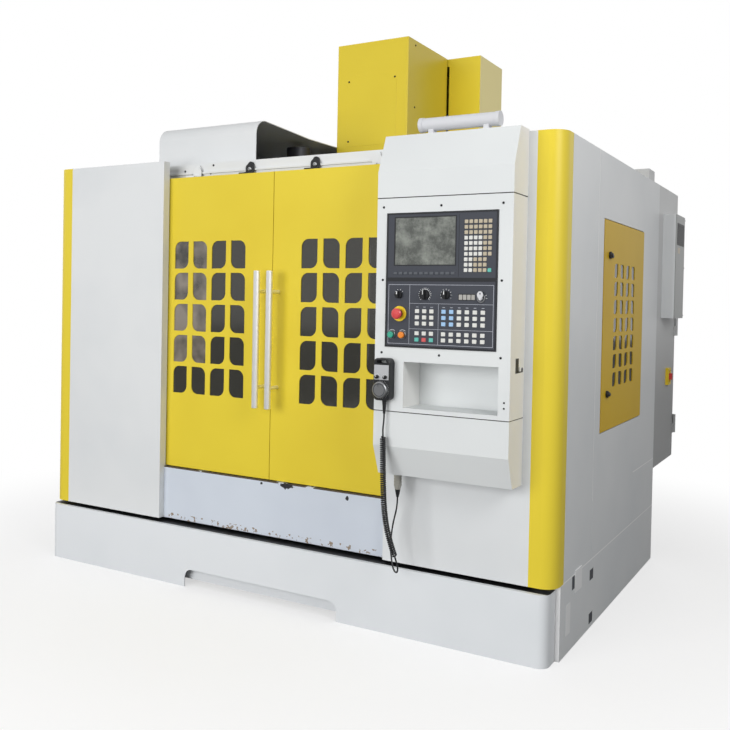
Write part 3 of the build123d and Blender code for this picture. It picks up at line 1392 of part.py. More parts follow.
def display_unit():
    """Screen and keypad in one bezel, with its body behind the sheet."""
    face = -PENDANT_DEPTH - UNIT_PROUD
    x = (UNIT_LEFT, UNIT_LEFT + UNIT_WIDTH)
    z = (UNIT_TOP - UNIT_HEIGHT, UNIT_TOP)
    unit = block(x, (face, -PENDANT_DEPTH), z)
    body_x = (x[0] + UNIT_BODY_INSET, x[1] - UNIT_BODY_INSET)
    body_z = (z[0], z[1] - UNIT_BODY_INSET)
    unit += block(body_x, (-PENDANT_DEPTH, face + UNIT_BODY_DEPTH), body_z)
    screen_x = (x[0] + SCREEN_LEFT, x[0] + SCREEN_LEFT + SCREEN_WIDTH)
    screen_z = (z[1] - SCREEN_DROP - SCREEN_HEIGHT, z[1] - SCREEN_DROP)
    unit -= block(screen_x, (face, face + SCREEN_RECESS), screen_z)
    keys = key_grid(320, 39, 5, 10, (13, 13), (18, 19.1))
    keys += key_grid(410, 39, 1, 7, (13, 13), (18, 19.1))
    keys += key_grid(410, 210.9, 1, 1, (13, 13), (18, 19.1))
    keys += key_grid(40, 222, 12, 1, (14, 9), (21, 20))
    return unit + along_y(Sketch() + keys, (face - KEY_PROUD, face))


# Places on the operator panel, from the unit's top left corner
ESTOP_AT = (60, 371)
START_AT = (29, 449)
STOP_AT = (73, 449)
FEED_AT = (162, 300)
SPEED_AT = (246, 300)
SELECTOR_AT = (56, 301)
LOCK_AT = (381, 310)
READOUT_AT = (326, 307)
ESTOP_RING_RADIUS = 27
ESTOP_RADIUS = 20
ESTOP_RING_HEIGHT = 5
ESTOP_TRAVEL = 4
BUTTON_RADIUS = 12
BUTTON_RING_RADIUS = 15
BUTTON_RING_HEIGHT = 4
BUTTON_HEIGHT = 9
BUTTON_TRAVEL = 3
STEM_BORE = 7


def panel_place(at):
    return UNIT_LEFT + at[0], UNIT_TOP - at[1]


def operator_panel():
    """The machine operator panel with its key blocks and control bushings."""
    face = -PENDANT_DEPTH - UNIT_PROUD
    x = (UNIT_LEFT, UNIT_LEFT + UNIT_WIDTH)
    z = (UNIT_TOP - UNIT_HEIGHT - PANEL_HEIGHT, UNIT_TOP - UNIT_HEIGHT)
    panel = block(x, (face, -PENDANT_DEPTH), z)
    body_x = (x[0] + UNIT_BODY_INSET, x[1] - UNIT_BODY_INSET)
    body_z = (z[0] + UNIT_BODY_INSET, z[1])
    panel += block(body_x, (-PENDANT_DEPTH, face + UNIT_BODY_DEPTH), body_z)
    keys = key_grid(132, 360, 3, 3, (16, 14), (29, 22.5))
    keys += key_grid(132, 441, 3, 2, (16, 14), (29, 23))
    keys += key_grid(238, 360, 6, 3, (16, 14), (30.2, 22.5))
    keys += key_grid(238, 441, 6, 2, (16, 14), (30.2, 22))
    panel += along_y(Sketch() + keys, (face - KEY_PROUD, face))
    for at, radius, height in ring_sizes():
        px, pz = panel_place(at)
        panel += front_rod(px, (face - height, face), pz, radius)
    px, pz = panel_place(LOCK_AT)
    panel += front_rod(px, (face - 3, face), pz, 15)
    px, pz = panel_place(READOUT_AT)
    panel -= block((px - 33, px + 33), (face, face + 1.5), (pz - 12, pz + 12))
    for at in (ESTOP_AT, START_AT, STOP_AT, FEED_AT, SPEED_AT, SELECTOR_AT, LOCK_AT):
        px, pz = panel_place(at)
        panel -= front_rod(px, (face - 6, face + 22), pz, STEM_BORE)
    return panel


def ring_sizes():
    """Place, radius and height of the rings under the three buttons."""
    return (
        (ESTOP_AT, ESTOP_RING_RADIUS, ESTOP_RING_HEIGHT),
        (START_AT, BUTTON_RING_RADIUS, BUTTON_RING_HEIGHT),
        (STOP_AT, BUTTON_RING_RADIUS, BUTTON_RING_HEIGHT),
    )


def push_button(at):
    """A button cap on a stem, standing off its ring by its own travel."""
    px, pz = panel_place(at)
    seat = -PENDANT_DEPTH - UNIT_PROUD - BUTTON_RING_HEIGHT - BUTTON_TRAVEL - END_PLAY
    cap = front_rod(px, (seat - BUTTON_HEIGHT, seat), pz, BUTTON_RADIUS)
    circles = cap.edges().filter_by(GeomType.CIRCLE)
    cap = fillet([e for e in circles if e.center().Y < seat - BUTTON_HEIGHT + 0.1], BUTTON_HEIGHT / 3)
    return cap + front_rod(px, (seat - 1, -PENDANT_DEPTH + 8), pz, STEM_BORE - RUNNING_FIT)


def estop_button():
    """The mushroom button, wider in front than at its neck."""
    px, pz = panel_place(ESTOP_AT)
    face = PENDANT_DEPTH + UNIT_PROUD
    seat = face + ESTOP_RING_HEIGHT + ESTOP_TRAVEL + END_PLAY
    profile = outline(
        [
            (0, face - 8),
            (STEM_BORE - RUNNING_FIT, face - 8),
            (STEM_BORE - RUNNING_FIT, seat),
            (ESTOP_RADIUS - 6, seat),
            (ESTOP_RADIUS - 6, seat + 8),
            (ESTOP_RADIUS, seat + 13),
            (ESTOP_RADIUS, seat + 19),
            (ESTOP_RADIUS - 5, seat + 24),
            (0, seat + 26),
        ]
    )
    mushroom = revolve(Plane.XZ * profile, axis=Axis.Z)
    return Pos(px, 0, pz) * (Rot(90, 0, 0) * mushroom)


def turn_knob(at, radius, height):
    """A pointer knob: a round body with a raised grip bar."""
    px, pz = panel_place(at)
    face = -PENDANT_DEPTH - UNIT_PROUD - 0.5
    knob = front_rod(px, (face - height / 2, face), pz, radius)
    grip = rectangle((px - radius * 0.3, px + radius * 0.3), (pz - radius * 0.86, pz + radius * 0.95))
    grip = fillet([v for v in grip.vertices() if v.Y > pz], radius * 0.25)
    knob += along_y(grip, (face - height, face - height / 2))
    return knob + front_rod(px, (face - 1, -PENDANT_DEPTH + 8), pz, STEM_BORE - RUNNING_FIT)


def panel_key():
    """A key in its lock barrel, with its bow standing up."""
    px, pz = panel_place(LOCK_AT)
    face = -PENDANT_DEPTH - UNIT_PROUD - 3.5
    key = front_rod(px, (face - 6, -PENDANT_DEPTH + 8), pz, STEM_BORE - RUNNING_FIT)
    bow = Pos(px, pz + 12) * (Ellipse(11, 13) - Pos(0, 4) * Circle(3))
    bow += rectangle((px - 4, px + 4), (pz - 4, pz + 4))
    return key + along_y(bow, (face - 9, face - 6))


def status_lamp():
    """The tube lamp on the pendant's cap, with two end caps and two feet."""
    y = -LAMP_SETBACK
    z = PENDANT_TOP + LAMP_LIFT + LAMP_RADIUS
    x = (LAMP_LEFT, LAMP_LEFT + LAMP_LENGTH)
    lamp = side_rod(x, y, z, LAMP_RADIUS - 2)
    for end in ((x[0], x[0] + 16), (x[1] - 16, x[1])):
        lamp += side_rod(end, y, z, LAMP_RADIUS)
    for foot in (x[0] + 40, x[1] - 60):
        lamp += block((foot, foot + 20), (y - 16, y + 16), (PENDANT_TOP, z - LAMP_RADIUS / 2))
    return lamp


# Handset, cord and connector


def handset_body():
    """The hand pulse unit: rounded body, carrying loop and strain relief."""
    back = -PENDANT_DEPTH
    face = back - HANDSET_THICKNESS
    middle_z = HANDSET_BOTTOM + HANDSET_HEIGHT / 2
    body = Pos(HANDSET_X, middle_z) * RectangleRounded(HANDSET_WIDTH, HANDSET_HEIGHT, HANDSET_CORNER)
    slot = Pos(HANDSET_X, HANDSET_BOTTOM + HANDSET_HEIGHT - 13) * RectangleRounded(40, 11, 5)
    handset = along_y(body - slot, (face, back))
    rim = [e for e in handset.faces().sort_by(Axis.Y)[0].outer_wire().edges()]
    handset = chamfer(rim, 4)
    handset -= block(
        (HANDSET_X - 31, HANDSET_X + 31), (face, face + 1), (HANDSET_BOTTOM + 76, HANDSET_BOTTOM + 132)
    )
    relief_y = (back + face) / 2
    relief = Pos(RELIEF_X, relief_y, HANDSET_BOTTOM - RELIEF_LENGTH) * Cone(
        CORD_RADIUS + 1.5, 9, RELIEF_LENGTH + 4, align=(Align.CENTER, Align.CENTER, Align.MIN)
    )
    handset += relief
    for dx, dz, radius in handset_bores():
        handset -= front_rod(HANDSET_X + dx, (face, face + 14), dz, radius)
    return handset


def handset_bores():
    return (
        (0, HANDSET_DIAL_Z, 5),
        (-HANDSET_KNOB_X, HANDSET_KNOB_Z, 3),
        (HANDSET_KNOB_X, HANDSET_KNOB_Z, 3),
    )


def handset_dial():
    """The handwheel of the pulse unit, with a finger dimple."""
    face = -PENDANT_DEPTH - HANDSET_THICKNESS - 0.5
    dial = front_rod(HANDSET_X, (face - 16, face), HANDSET_DIAL_Z, HANDSET_DIAL_RADIUS)
    rim = [e for e in dial.edges().filter_by(GeomType.CIRCLE) if e.center().Y < face - 15]
    dial = chamfer(rim, 3)
    dial -= front_rod(HANDSET_X, (face - 16, face - 13), HANDSET_DIAL_Z + 17, 7)
    return dial + front_rod(HANDSET_X, (face - 1, face + 12), HANDSET_DIAL_Z, 4.95)


def handset_knob(side):
    face = -PENDANT_DEPTH - HANDSET_THICKNESS - 0.3
    x = HANDSET_X + side * HANDSET_KNOB_X
    knob = front_rod(x, (face - 9, face), HANDSET_KNOB_Z, 7)
    knob += block((x - 2, x + 2), (face - 12, face - 9), (HANDSET_KNOB_Z - 6, HANDSET_KNOB_Z + 7))
    return knob + front_rod(x, (face - 1, face + 10), HANDSET_KNOB_Z, 2.95)


HANDSET_EXIT = (RELIEF_X, -PENDANT_DEPTH - HANDSET_THICKNESS / 2, HANDSET_BOTTOM - RELIEF_LENGTH)
PLUG_EXIT = (CONNECTOR_X, CONNECTOR_Y, PENDANT_BOTTOM - 6 - CONNECTOR_LENGTH - PLUG_LENGTH)

# The cord's route: a short thin end, the coiled stretch, and the thin tail.
TOP_ROUTE = [HANDSET_EXIT, (667, -160, 848), (665.1, -164.05, 820), (666, -164.5, 790)]
COIL_ROUTE = [
    (666, -164.5, 790),
    (669, -166, 690),
    (672, -165, 590),
    (677, -161, 500),
    (690, -152, 415),
    (712, -138, 340),
]
TAIL_ROUTE = [
    (712, -138, 340),
    (719.33, -133.33, 315),
    (719, -124, 290),
    (709, -113, 274),
    (693, -102, 273),
    (679, -91, 286),
    (668, -82, 314),
    (660, -75, 358),
    (659, -68, 408),
    (666, -64, 458),
    (CONNECTOR_X, CONNECTOR_Y, 512),
    PLUG_EXIT,
]


def corner_radii(route):
    """The largest arc that each corner's two runs allow, rounded down."""
    radii = []
    for before, corner, after in zip(route, route[1:], route[2:]):
        first = Vector(*corner) - Vector(*before)
        second = Vector(*after) - Vector(*corner)
        half_turn = math.radians(first.get_angle(second) / 2)
        radii.append(0.45 * min(first.length, second.length) / math.tan(half_turn))
    return radii


def cord_tube(route, radius, name):
    """A round tube along straight runs joined by tangent arcs."""
    radii = corner_radii(route)
    path = FilletPolyline(*route, radius=radii)
    start = Plane(origin=path @ 0, z_dir=path % 0)
    tube = sweep(start * Circle(radius), path=path)
    drift = tube.volume / (math.pi * radius**2 * path.length) - 1
    print(name, "radii", [round(r) for r in radii], "length", round(path.length))
    print(name, "volume off by", round(drift, 5))
    return tube


def cord_plug():
    """The round connector: knurled metal shell above, black boot below."""
    top = PENDANT_BOTTOM - 6
    shell_low = top - CONNECTOR_LENGTH
    shell = upright_rod(CONNECTOR_X, CONNECTOR_Y, (shell_low, top), CONNECTOR_RADIUS - 2)
    for index in range(4):
        low = shell_low + 4 + index * 11
        shell += upright_rod(CONNECTOR_X, CONNECTOR_Y, (low, low + 6), CONNECTOR_RADIUS)
    boot = Pos(CONNECTOR_X, CONNECTOR_Y, shell_low - PLUG_LENGTH) * Cone(
        CORD_RADIUS + 1.5, PLUG_RADIUS, PLUG_LENGTH, align=(Align.CENTER, Align.CENTER, Align.MIN)
    )
    return shell + boot


def build_nodes():
    """Every piece of the machine by the name of its node."""
    return {
        "bed_casting": bed_casting(),
        "column_casting": column_casting(),
        "y_ballscrew": y_ballscrew(),
        "z_ballscrew": z_ballscrew(),
        "x_ballscrew": x_ballscrew(),
        "saddle": saddle() + x_motor(),
        "table": table(),
        "spindle_head": spindle_head(),
        "spindle_motor": spindle_motor(),
        "spindle": spindle(),
        "head_cover": head_cover(),
        "column_cover": column_cover(),
        "magazine_hood": magazine_hood(),
        "tool_magazine": tool_magazine(),
        "changer_gearbox": changer_gearbox(),
        "changer_shaft": changer_shaft(),
        "changer_arm": changer_arm(),
        "left_side_panel": mirrored(side_panel()),
        "right_side_panel": right_side_panel(),
        "left_front_panel": mirrored(front_panel()),
        "right_front_panel": front_panel(),
        "sill_panel": sill_panel(),
        "roof_beam": roof_beam(),
        "rear_panel": rear_panel(),
        "base_skirts": Compound(children=[base_skirt(), mirrored(base_skirt())]),
        "chip_pan": chip_pan(),
        "coolant_tank": coolant_tank(),
        "left_door": mirrored(door_leaf()),
        "right_door": door_leaf(),
        "left_door_glass": mirrored(door_glass()),
        "right_door_glass": door_glass(),
        "left_door_handle": mirrored(door_handle()),
        "right_door_handle": door_handle(),
        "service_door": service_door(),
        "service_glass": service_glass(),
        "lower_latch": service_latch(LATCH_HEIGHTS[0]),
        "upper_latch": service_latch(LATCH_HEIGHTS[1]),
        "electrical_cabinet": electrical_cabinet(),
        "cabinet_door": cabinet_door(),
        "cooling_unit": cooling_unit(),
        "main_switch_knob": main_switch_knob(),
        "pendant_housing": pendant_housing(),
        "display_unit": display_unit(),
        "operator_panel": operator_panel(),
        "estop_button": estop_button(),
        "start_button": push_button(START_AT),
        "stop_button": push_button(STOP_AT),
        "feed_dial": turn_knob(FEED_AT, 18, 20),
        "speed_dial": turn_knob(SPEED_AT, 15, 20),
        "panel_selector": turn_knob(SELECTOR_AT, 14, 20),
        "panel_key": panel_key(),
        "status_lamp": status_lamp(),
        "handset_body": handset_body(),
        "handset_dial": handset_dial(),
        "handset_axis_knob": handset_knob(-1),
        "handset_step_knob": handset_knob(1),
        "cord_top": cord_tube(TOP_ROUTE, CORD_RADIUS, "cord_top"),
        "cord_coil": cord_tube(COIL_ROUTE, COIL_RADIUS, "cord_coil"),
        "cord_tail": cord_tube(TAIL_ROUTE, CORD_RADIUS, "cord_tail"),
        "cord_plug": cord_plug(),
    }


CORD_NODES = ("cord_top", "cord_coil", "cord_tail", "cord_plug")


def floor_centre(nodes):
    """The middle of the footprint of all nodes but the cord's, on the floor."""
    boxes = [part.bounding_box() for name, part in nodes.items() if name not in CORD_NODES]
    low_x = min(box.min.X for box in boxes)
    high_x = max(box.max.X for box in boxes)
    low_y = min(box.min.Y for box in boxes)
    high_y = max(box.max.Y for box in boxes)
    low_z = min(box.min.Z for box in boxes)
    return Vector((low_x + high_x) / 2, (low_y + high_y) / 2, low_z)


def main():
    nodes = build_nodes()
    centre = floor_centre(nodes)
    os.makedirs("parts", exist_ok=True)
    for name, part in nodes.items():
        export_step(Pos(-centre.X, -centre.Y, -centre.Z) * part, "parts/" + name + ".step")
    print("nodes", len(nodes), "origin at", round(centre.X, 3), round(centre.Y, 3), round(centre.Z, 3))


main()
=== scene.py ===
# %% [markdown]
# # A vertical machining centre
#
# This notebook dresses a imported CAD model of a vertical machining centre. The
# solids, their places and their joints are already right, so Blender adds what
# CAD leaves out: paint, steel, glass, keys, screws, a coiled cord and light.
# The frame is metric, with X to the machine's right, Y to its back and Z up.

# %% Load the frame
import math
import bmesh
import bpy
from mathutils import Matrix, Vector


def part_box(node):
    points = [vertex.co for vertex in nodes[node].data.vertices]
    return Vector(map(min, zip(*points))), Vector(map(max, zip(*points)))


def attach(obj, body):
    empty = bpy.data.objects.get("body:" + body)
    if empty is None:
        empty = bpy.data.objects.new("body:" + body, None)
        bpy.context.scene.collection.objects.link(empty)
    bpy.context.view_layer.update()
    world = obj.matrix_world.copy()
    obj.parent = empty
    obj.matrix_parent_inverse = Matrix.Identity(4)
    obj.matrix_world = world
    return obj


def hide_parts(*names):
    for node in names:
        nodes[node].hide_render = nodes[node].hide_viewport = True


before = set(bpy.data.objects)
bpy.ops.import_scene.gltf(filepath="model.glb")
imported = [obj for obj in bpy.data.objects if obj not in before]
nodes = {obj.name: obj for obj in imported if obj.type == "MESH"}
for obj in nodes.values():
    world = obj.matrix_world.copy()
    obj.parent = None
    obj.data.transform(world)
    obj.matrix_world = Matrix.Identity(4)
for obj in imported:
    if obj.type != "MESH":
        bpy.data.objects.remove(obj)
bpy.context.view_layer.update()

# %% [markdown]
# The CAD file was drawn from the middle of the front panels, and its origin
# then moved to the middle of the footprint. The numbers below are the drawing's
# own millimetres, so one function turns them into the frame's metres.

# %% From drawing millimetres to frame metres
FOOT_CENTRE = (32.5, 966.75)


def place(x, y, z):
    return Vector((x - FOOT_CENTRE[0], y - FOOT_CENTRE[1], z)) / 1000


# %% [markdown]
# ## Camera
#
# The picture was taken from the front right, at chest height. The place, the
# angles and the focal length come from lining up the enclosure's edges. The
# picture was cropped, so the optical axis lies a little above the middle, and
# the vertical shift says by how much.

# %% Camera
SENSOR_MM = 36
FOCAL_PIXELS = 874.24
PICTURE_PIXELS = 730
CROP_SHIFT = -0.0652
CAMERA_PLACE = (2209.8, -3004.5, 1288.8)
CAMERA_DEGREES = (88.93, -1.112, 29.873)
camera_data = bpy.data.cameras.new("camera")
camera_data.sensor_width = SENSOR_MM
camera_data.lens = FOCAL_PIXELS / PICTURE_PIXELS * SENSOR_MM
camera_data.shift_y = CROP_SHIFT
camera_data.clip_end = 100
camera = bpy.data.objects.new("camera", camera_data)
camera.location = place(*CAMERA_PLACE)
camera.rotation_euler = [math.radians(a) for a in CAMERA_DEGREES]
bpy.context.scene.collection.objects.link(camera)
bpy.context.scene.camera = camera
print("lens", round(camera_data.lens, 2), "mm")

# %% [markdown]
# ## The coiled cord's shape
#
# A handset hangs on a curly cord: thin where it leaves the handset, wound into
# a tight coil along its middle, and thin again where it turns up to its
# connector. The route is a quadratic NURBS curve. The coil is a helix round
# that curve, so its points follow the points that Blender reads back from it.
# At both ends the helix opens from the route within one turn.

# %% Cord route
top_route = [(667, -160, 873), (667, -160, 848), (665.1, -164.05, 820), (666, -164.5, 790)]
coil_route = [(666, -164.5, 790), (669, -166, 690), (672, -165, 590), (677, -161, 500),
              (690, -152, 415), (712, -138, 340)]
tail_route = [(712, -138, 340), (719.33, -133.33, 315), (719, -124, 290), (709, -113, 274),
              (693, -102, 273), (679, -91, 286), (668, -82, 314), (660, -75, 358), (659, -68, 408),
              (666, -64, 458), (679, -62, 512), (679, -62, 546)]
CORD_DIAMETER = 0.0065
COIL_OUTER_RADIUS = 0.0118
COIL_RADIUS = COIL_OUTER_RADIUS - CORD_DIAMETER / 2
COIL_PITCH = 0.0078
POINTS_PER_TURN = 12
OPENING_PER_TURN = 1.2
# Blender widens a curve's box by its points' radius in metres, so the radius is
# small and the bevel is larger by as much.
POINT_RADIUS = 0.001


def nurbs(name, points, thickness=0.0):
    """A smooth open curve with these points as its control points."""
    data = bpy.data.curves.new(name, "CURVE")
    data.dimensions = "3D"
    spline = data.splines.new("NURBS")
    spline.points.add(len(points) - 1)
    for point, co in zip(spline.points, points):
        point.co = (*co, 1)
        point.radius = POINT_RADIUS
    spline.order_u = 3
    spline.use_endpoint_u = True
    spline.resolution_u = 3
    data.bevel_depth = thickness / 2 / POINT_RADIUS
    data.bevel_resolution = 2
    data.use_fill_caps = True
    return bpy.data.objects.new(name, data)


def read_line(points, resolution=24):
    """The points of the NURBS line through these control points."""
    probe = nurbs("probe", points)
    probe.data.splines[0].resolution_u = resolution
    bpy.context.scene.collection.objects.link(probe)
    bpy.context.view_layer.update()
    mesh = bpy.data.meshes.new_from_object(probe)
    line = [v.co.copy() for v in mesh.vertices]
    bpy.data.objects.remove(probe)
    return line


def line_length(line):
    return sum((b - a).length for a, b in zip(line, line[1:]))


def at_distance(line, wanted):
    """The point and direction at a distance along a line."""
    for a, b in zip(line, line[1:]):
        step = (b - a).length
        if wanted <= step or b is line[-1]:
            return a.lerp(b, min(1, wanted / step)), (b - a).normalized()
        wanted -= step


def helix(line):
    """Control points wound round the line, opening from it and closing to it."""
    length = line_length(line)
    turns = round(length / COIL_PITCH)
    count = turns * POINTS_PER_TURN
    points = []
    for index in range(count + 1):
        share = index / count
        centre, ahead = at_distance(line, length * share)
        side = ahead.cross(Vector((0, 1, 0))).normalized()
        other = ahead.cross(side)
        opening = min(1, OPENING_PER_TURN * turns * min(share, 1 - share))
        angle = 2 * math.pi * index / POINTS_PER_TURN
        offset = side * math.cos(angle) + other * math.sin(angle)
        points.append(centre + offset * COIL_RADIUS * opening)
    return points


coil_line = read_line([place(*p) for p in coil_route])
cord_points = ([place(*p) for p in top_route[:-1]] + helix(coil_line)
               + [place(*p) for p in tail_route[1:]])
handset_cord = nurbs("handset_cord", cord_points, CORD_DIAMETER)
bpy.context.scene.collection.objects.link(handset_cord)
cord_length = line_length(read_line(cord_points, 4))
print("cord", round(cord_length, 3), "m, coil along", round(line_length(coil_line), 3), "m")
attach(handset_cord, "frame")
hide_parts("cord_top", "cord_coil", "cord_tail")

# %% [markdown]
# ## Helpers for materials
#
# Colours are picked as sRGB hex values, because that is what a screen shows,
# and Blender's shaders work in linear light, so one function converts them.

# %% Colour and node helpers


def linear(hex_code, alpha=1.0):
    values = [int(hex_code[i:i + 2], 16) / 255 for i in (1, 3, 5)]
    return [v / 12.92 if v <= 0.04045 else ((v + 0.055) / 1.055) ** 2.4 for v in values] + [alpha]


def add_node(material, kind, settings=None, links=None):
    """One shader node with its settings, and links into its input sockets."""
    tree = material.node_tree
    node = tree.nodes.new(kind)
    for key, value in (settings or {}).items():
        if isinstance(key, int) or key in node.inputs:
            node.inputs[key].default_value = value
        else:
            setattr(node, key, value)
    for key, source in (links or {}).items():
        tree.links.new(source, node.inputs[key])
    return node


def new_material(name, hex_code, roughness, metallic=0.0, ior=None):
    """A material that starts from one colour and one roughness."""
    material = bpy.data.materials.new(name)
    material.use_nodes = True
    shader = material.node_tree.nodes["Principled BSDF"]
    shader.inputs["Base Color"].default_value = linear(hex_code)
    shader.inputs["Roughness"].default_value = roughness
    shader.inputs["Metallic"].default_value = metallic
    if ior:
        shader.inputs["IOR"].default_value = ior
    return material, shader


def link(material, source, target):
    material.node_tree.links.new(source, target)


def object_place(material):
    """The texture coordinate that is the frame's own place in metres."""
    return add_node(material, "ShaderNodeTexCoord").outputs["Object"]


def noise(material, scale, detail, roughness=0.5):
    """Cloudy noise, laid out in the frame's metres."""
    settings = {"Scale": scale, "Detail": detail, "Roughness": roughness}
    return add_node(material, "ShaderNodeTexNoise", settings, {"Vector": object_place(material)})


def bend(material, texture, strength, distance):
    """Bends the surface as if the texture stood this many metres high."""
    bump = add_node(material, "ShaderNodeBump", {"Strength": strength, "Distance": distance},
                    {"Height": texture.outputs["Fac"]})
    shader = material.node_tree.nodes["Principled BSDF"]
    link(material, bump.outputs["Normal"], shader.inputs["Normal"])


def beyond(material, socket, limit, test="GREATER_THAN"):
    """1 where a value lies beyond a limit, else 0."""
    settings = {"operation": test, 1: limit}
    return add_node(material, "ShaderNodeMath", settings, {0: socket}).outputs[0]


def band(material, socket, middle, half):
    """1 within a band round a value, else 0."""
    settings = {"operation": "COMPARE", 1: middle, 2: half}
    return add_node(material, "ShaderNodeMath", settings, {0: socket}).outputs[0]


def both(material, first, second):
    node = add_node(material, "ShaderNodeMath", {"operation": "MULTIPLY"}, {0: first, 1: second})
    return node.outputs[0]


def repaint(material, mask, hex_code):
    """Lays a second colour over the first one where the mask is 1."""
    target = material.node_tree.nodes["Principled BSDF"].inputs["Base Color"]
    mix = add_node(material, "ShaderNodeMix", {"data_type": "RGBA"})
    if target.links:
        link(material, target.links[0].from_socket, mix.inputs[6])
    else:
        mix.inputs[6].default_value = target.default_value
    mix.inputs[7].default_value = linear(hex_code)
    link(material, mask, mix.inputs[0])
    link(material, mix.outputs[2], target)


# %% [markdown]
# ## Powder coat
#
# The panels are sheet steel, sprayed with polyester powder and baked. The film
# levels out into a faint orange peel with bumps two to three millimetres
# across, which breaks up reflections. Over a metre the colour and the gloss
# drift a little, so that a large flat panel doesn't look like flat colour.

# %% Powder coat
PEEL_PER_METRE = 1000 / 2.5


def powder_coat(name, hex_code, shade_hex, roughness):
    """Baked powder: slow colour drift, orange peel and patches of duller gloss."""
    material, shader = new_material(name, hex_code, roughness, ior=1.5)
    drift = noise(material, 1.3, 3.0, 0.6)
    patches = add_node(material, "ShaderNodeMapRange", {"From Min": 0.45, "From Max": 0.75},
                       {"Value": drift.outputs["Fac"]})
    repaint(material, patches.outputs["Result"], shade_hex)
    bend(material, noise(material, PEEL_PER_METRE, 1.0), 0.06, 0.0004)
    dull = add_node(material, "ShaderNodeMapRange",
                    {"To Min": roughness - 0.05, "To Max": roughness + 0.08},
                    {"Value": drift.outputs["Fac"]})
    link(material, dull.outputs["Result"], shader.inputs["Roughness"])
    return material


WHITE, WHITE_SHADE = "#DEE0E1", "#D5D8DA"
YELLOW, YELLOW_SHADE = "#E2CB38", "#DDC434"
# A cool white with a soft sheen, the calm ground that the yellow stands on.
white_coat = powder_coat("white powder coat", WHITE, WHITE_SHADE, 0.42)
# A clean lemon yellow, a little glossier, so that its edges catch the light.
yellow_coat = powder_coat("yellow powder coat", YELLOW, YELLOW_SHADE, 0.36)
# The tall column cover looks a shade lighter than the doors.
cover_coat = powder_coat("light yellow powder coat with painted light", "#EDD63C", "#E7D038", 0.36)
# Painted shade: the service door is the doors' yellow made a duller ochre, as in the
# shade of the right side, which sets it off from the doors.
service_coat = powder_coat("yellow powder coat with painted shade", "#D0AB00", "#C6A000", 0.5)
# The sill has a cold cast beside the white panels.
sill_coat = powder_coat("blue-white powder coat", "#CFD6E0", "#C6CDD8", 0.4)

# %% [markdown]
# Several parts carry two colours, and some of the second colours are painted
# light and shade. The side panels are white with a yellow corner post, masked
# before the second spray, with painted highlights on the folds in the sheet and
# on the skirts' edges. The doors are yellow with black inner hangers. The
# pendant has dark joint lines and painted light on its right cheek, the column
# cover painted light on its right side and the cooler painted shade on its right
# side. The ledge behind the tank's lip is painted black as shade, and the
# cabinet has painted shade towards its foot. A mask of the place, or of the way
# a face looks, says where each second colour lies. Heights and half widths are
# in metres.

# %% Masks for two-colour parts
FACES_RIGHT, FACES_UP, FACES_FRONT = 0.7, 0.5, -0.5


def place_axes(material):
    return add_node(material, "ShaderNodeSeparateXYZ", links={0: object_place(material)}).outputs


def facing_axes(material):
    look = add_node(material, "ShaderNodeNewGeometry").outputs["Normal"]
    return add_node(material, "ShaderNodeSeparateXYZ", links={0: look}).outputs


# %% Side panels and skirts
HIGHLIGHT_WHITE = "#F6F6F6"
POST_BACK = place(0, 100, 0).y
UPRIGHT_FOLD = place(0, 465, 0).y
UPRIGHT_FOOT = 0.51
REAR_FOLD_HEIGHT = 0.514
REAR_FOLD_START = place(0, 1157, 0).y
FOLD_HALF = 0.0022
PANEL_FOOT_EDGE = 0.2772
SKIRT_TOP_EDGE = 0.2728

# Painted highlights: bright hairlines on the white sheet's folds and foot; the post turns yellow.
post_coat = powder_coat("white powder coat with yellow post and painted highlights", WHITE, WHITE_SHADE, 0.42)
where = place_axes(post_coat)
upright = both(post_coat, band(post_coat, where["Y"], UPRIGHT_FOLD, FOLD_HALF),
               beyond(post_coat, where["Z"], UPRIGHT_FOOT))
rear_fold = both(post_coat, band(post_coat, where["Z"], REAR_FOLD_HEIGHT, FOLD_HALF),
                 beyond(post_coat, where["Y"], REAR_FOLD_START))
foot_edge = beyond(post_coat, where["Z"], PANEL_FOOT_EDGE, "LESS_THAN")
for painted_highlight in (upright, rear_fold, foot_edge):
    repaint(post_coat, painted_highlight, HIGHLIGHT_WHITE)
repaint(post_coat, beyond(post_coat, where["Y"], POST_BACK, "LESS_THAN"), YELLOW)

# Painted highlights: the skirts' top and front edges are brighter, so the sheet reads as thin.
skirt_coat = powder_coat("white powder coat with painted highlights", WHITE, WHITE_SHADE, 0.42)
top_edge = beyond(skirt_coat, place_axes(skirt_coat)["Z"], SKIRT_TOP_EDGE)
repaint(skirt_coat, top_edge, HIGHLIGHT_WHITE)
front_edge = beyond(skirt_coat, facing_axes(skirt_coat)["Y"], FACES_FRONT, "LESS_THAN")
repaint(skirt_coat, front_edge, HIGHLIGHT_WHITE)

# %% Doors, covers, pendant, tank, cooler and cabinet
HANGER_FOOT = 1.8355
INNER_HANGER_REACH = 0.3
PENDANT_SEAMS = (0.881, 1.673)
SEAM_HALF = 0.0017
TANK_LIP_BACK = place(0, -13, 0).y
CABINET_LIGHT, CABINET_DARK = 1.35, 0.8

# Two black shapes at the doors' inner top corners, on a white beam.
door_coat = powder_coat("yellow powder coat with black hangers", YELLOW, YELLOW_SHADE, 0.36)
where = place_axes(door_coat)
above = beyond(door_coat, where["Z"], HANGER_FOOT)
repaint(door_coat, above, WHITE)
inner = band(door_coat, where["X"], place(0, 0, 0).x, INNER_HANGER_REACH)
repaint(door_coat, both(door_coat, above, inner), "#17181A")

# Painted light: a paler right side makes the column cover look thin and bright.
repaint(cover_coat, beyond(cover_coat, facing_axes(cover_coat)["X"], FACES_RIGHT), "#F8E898")
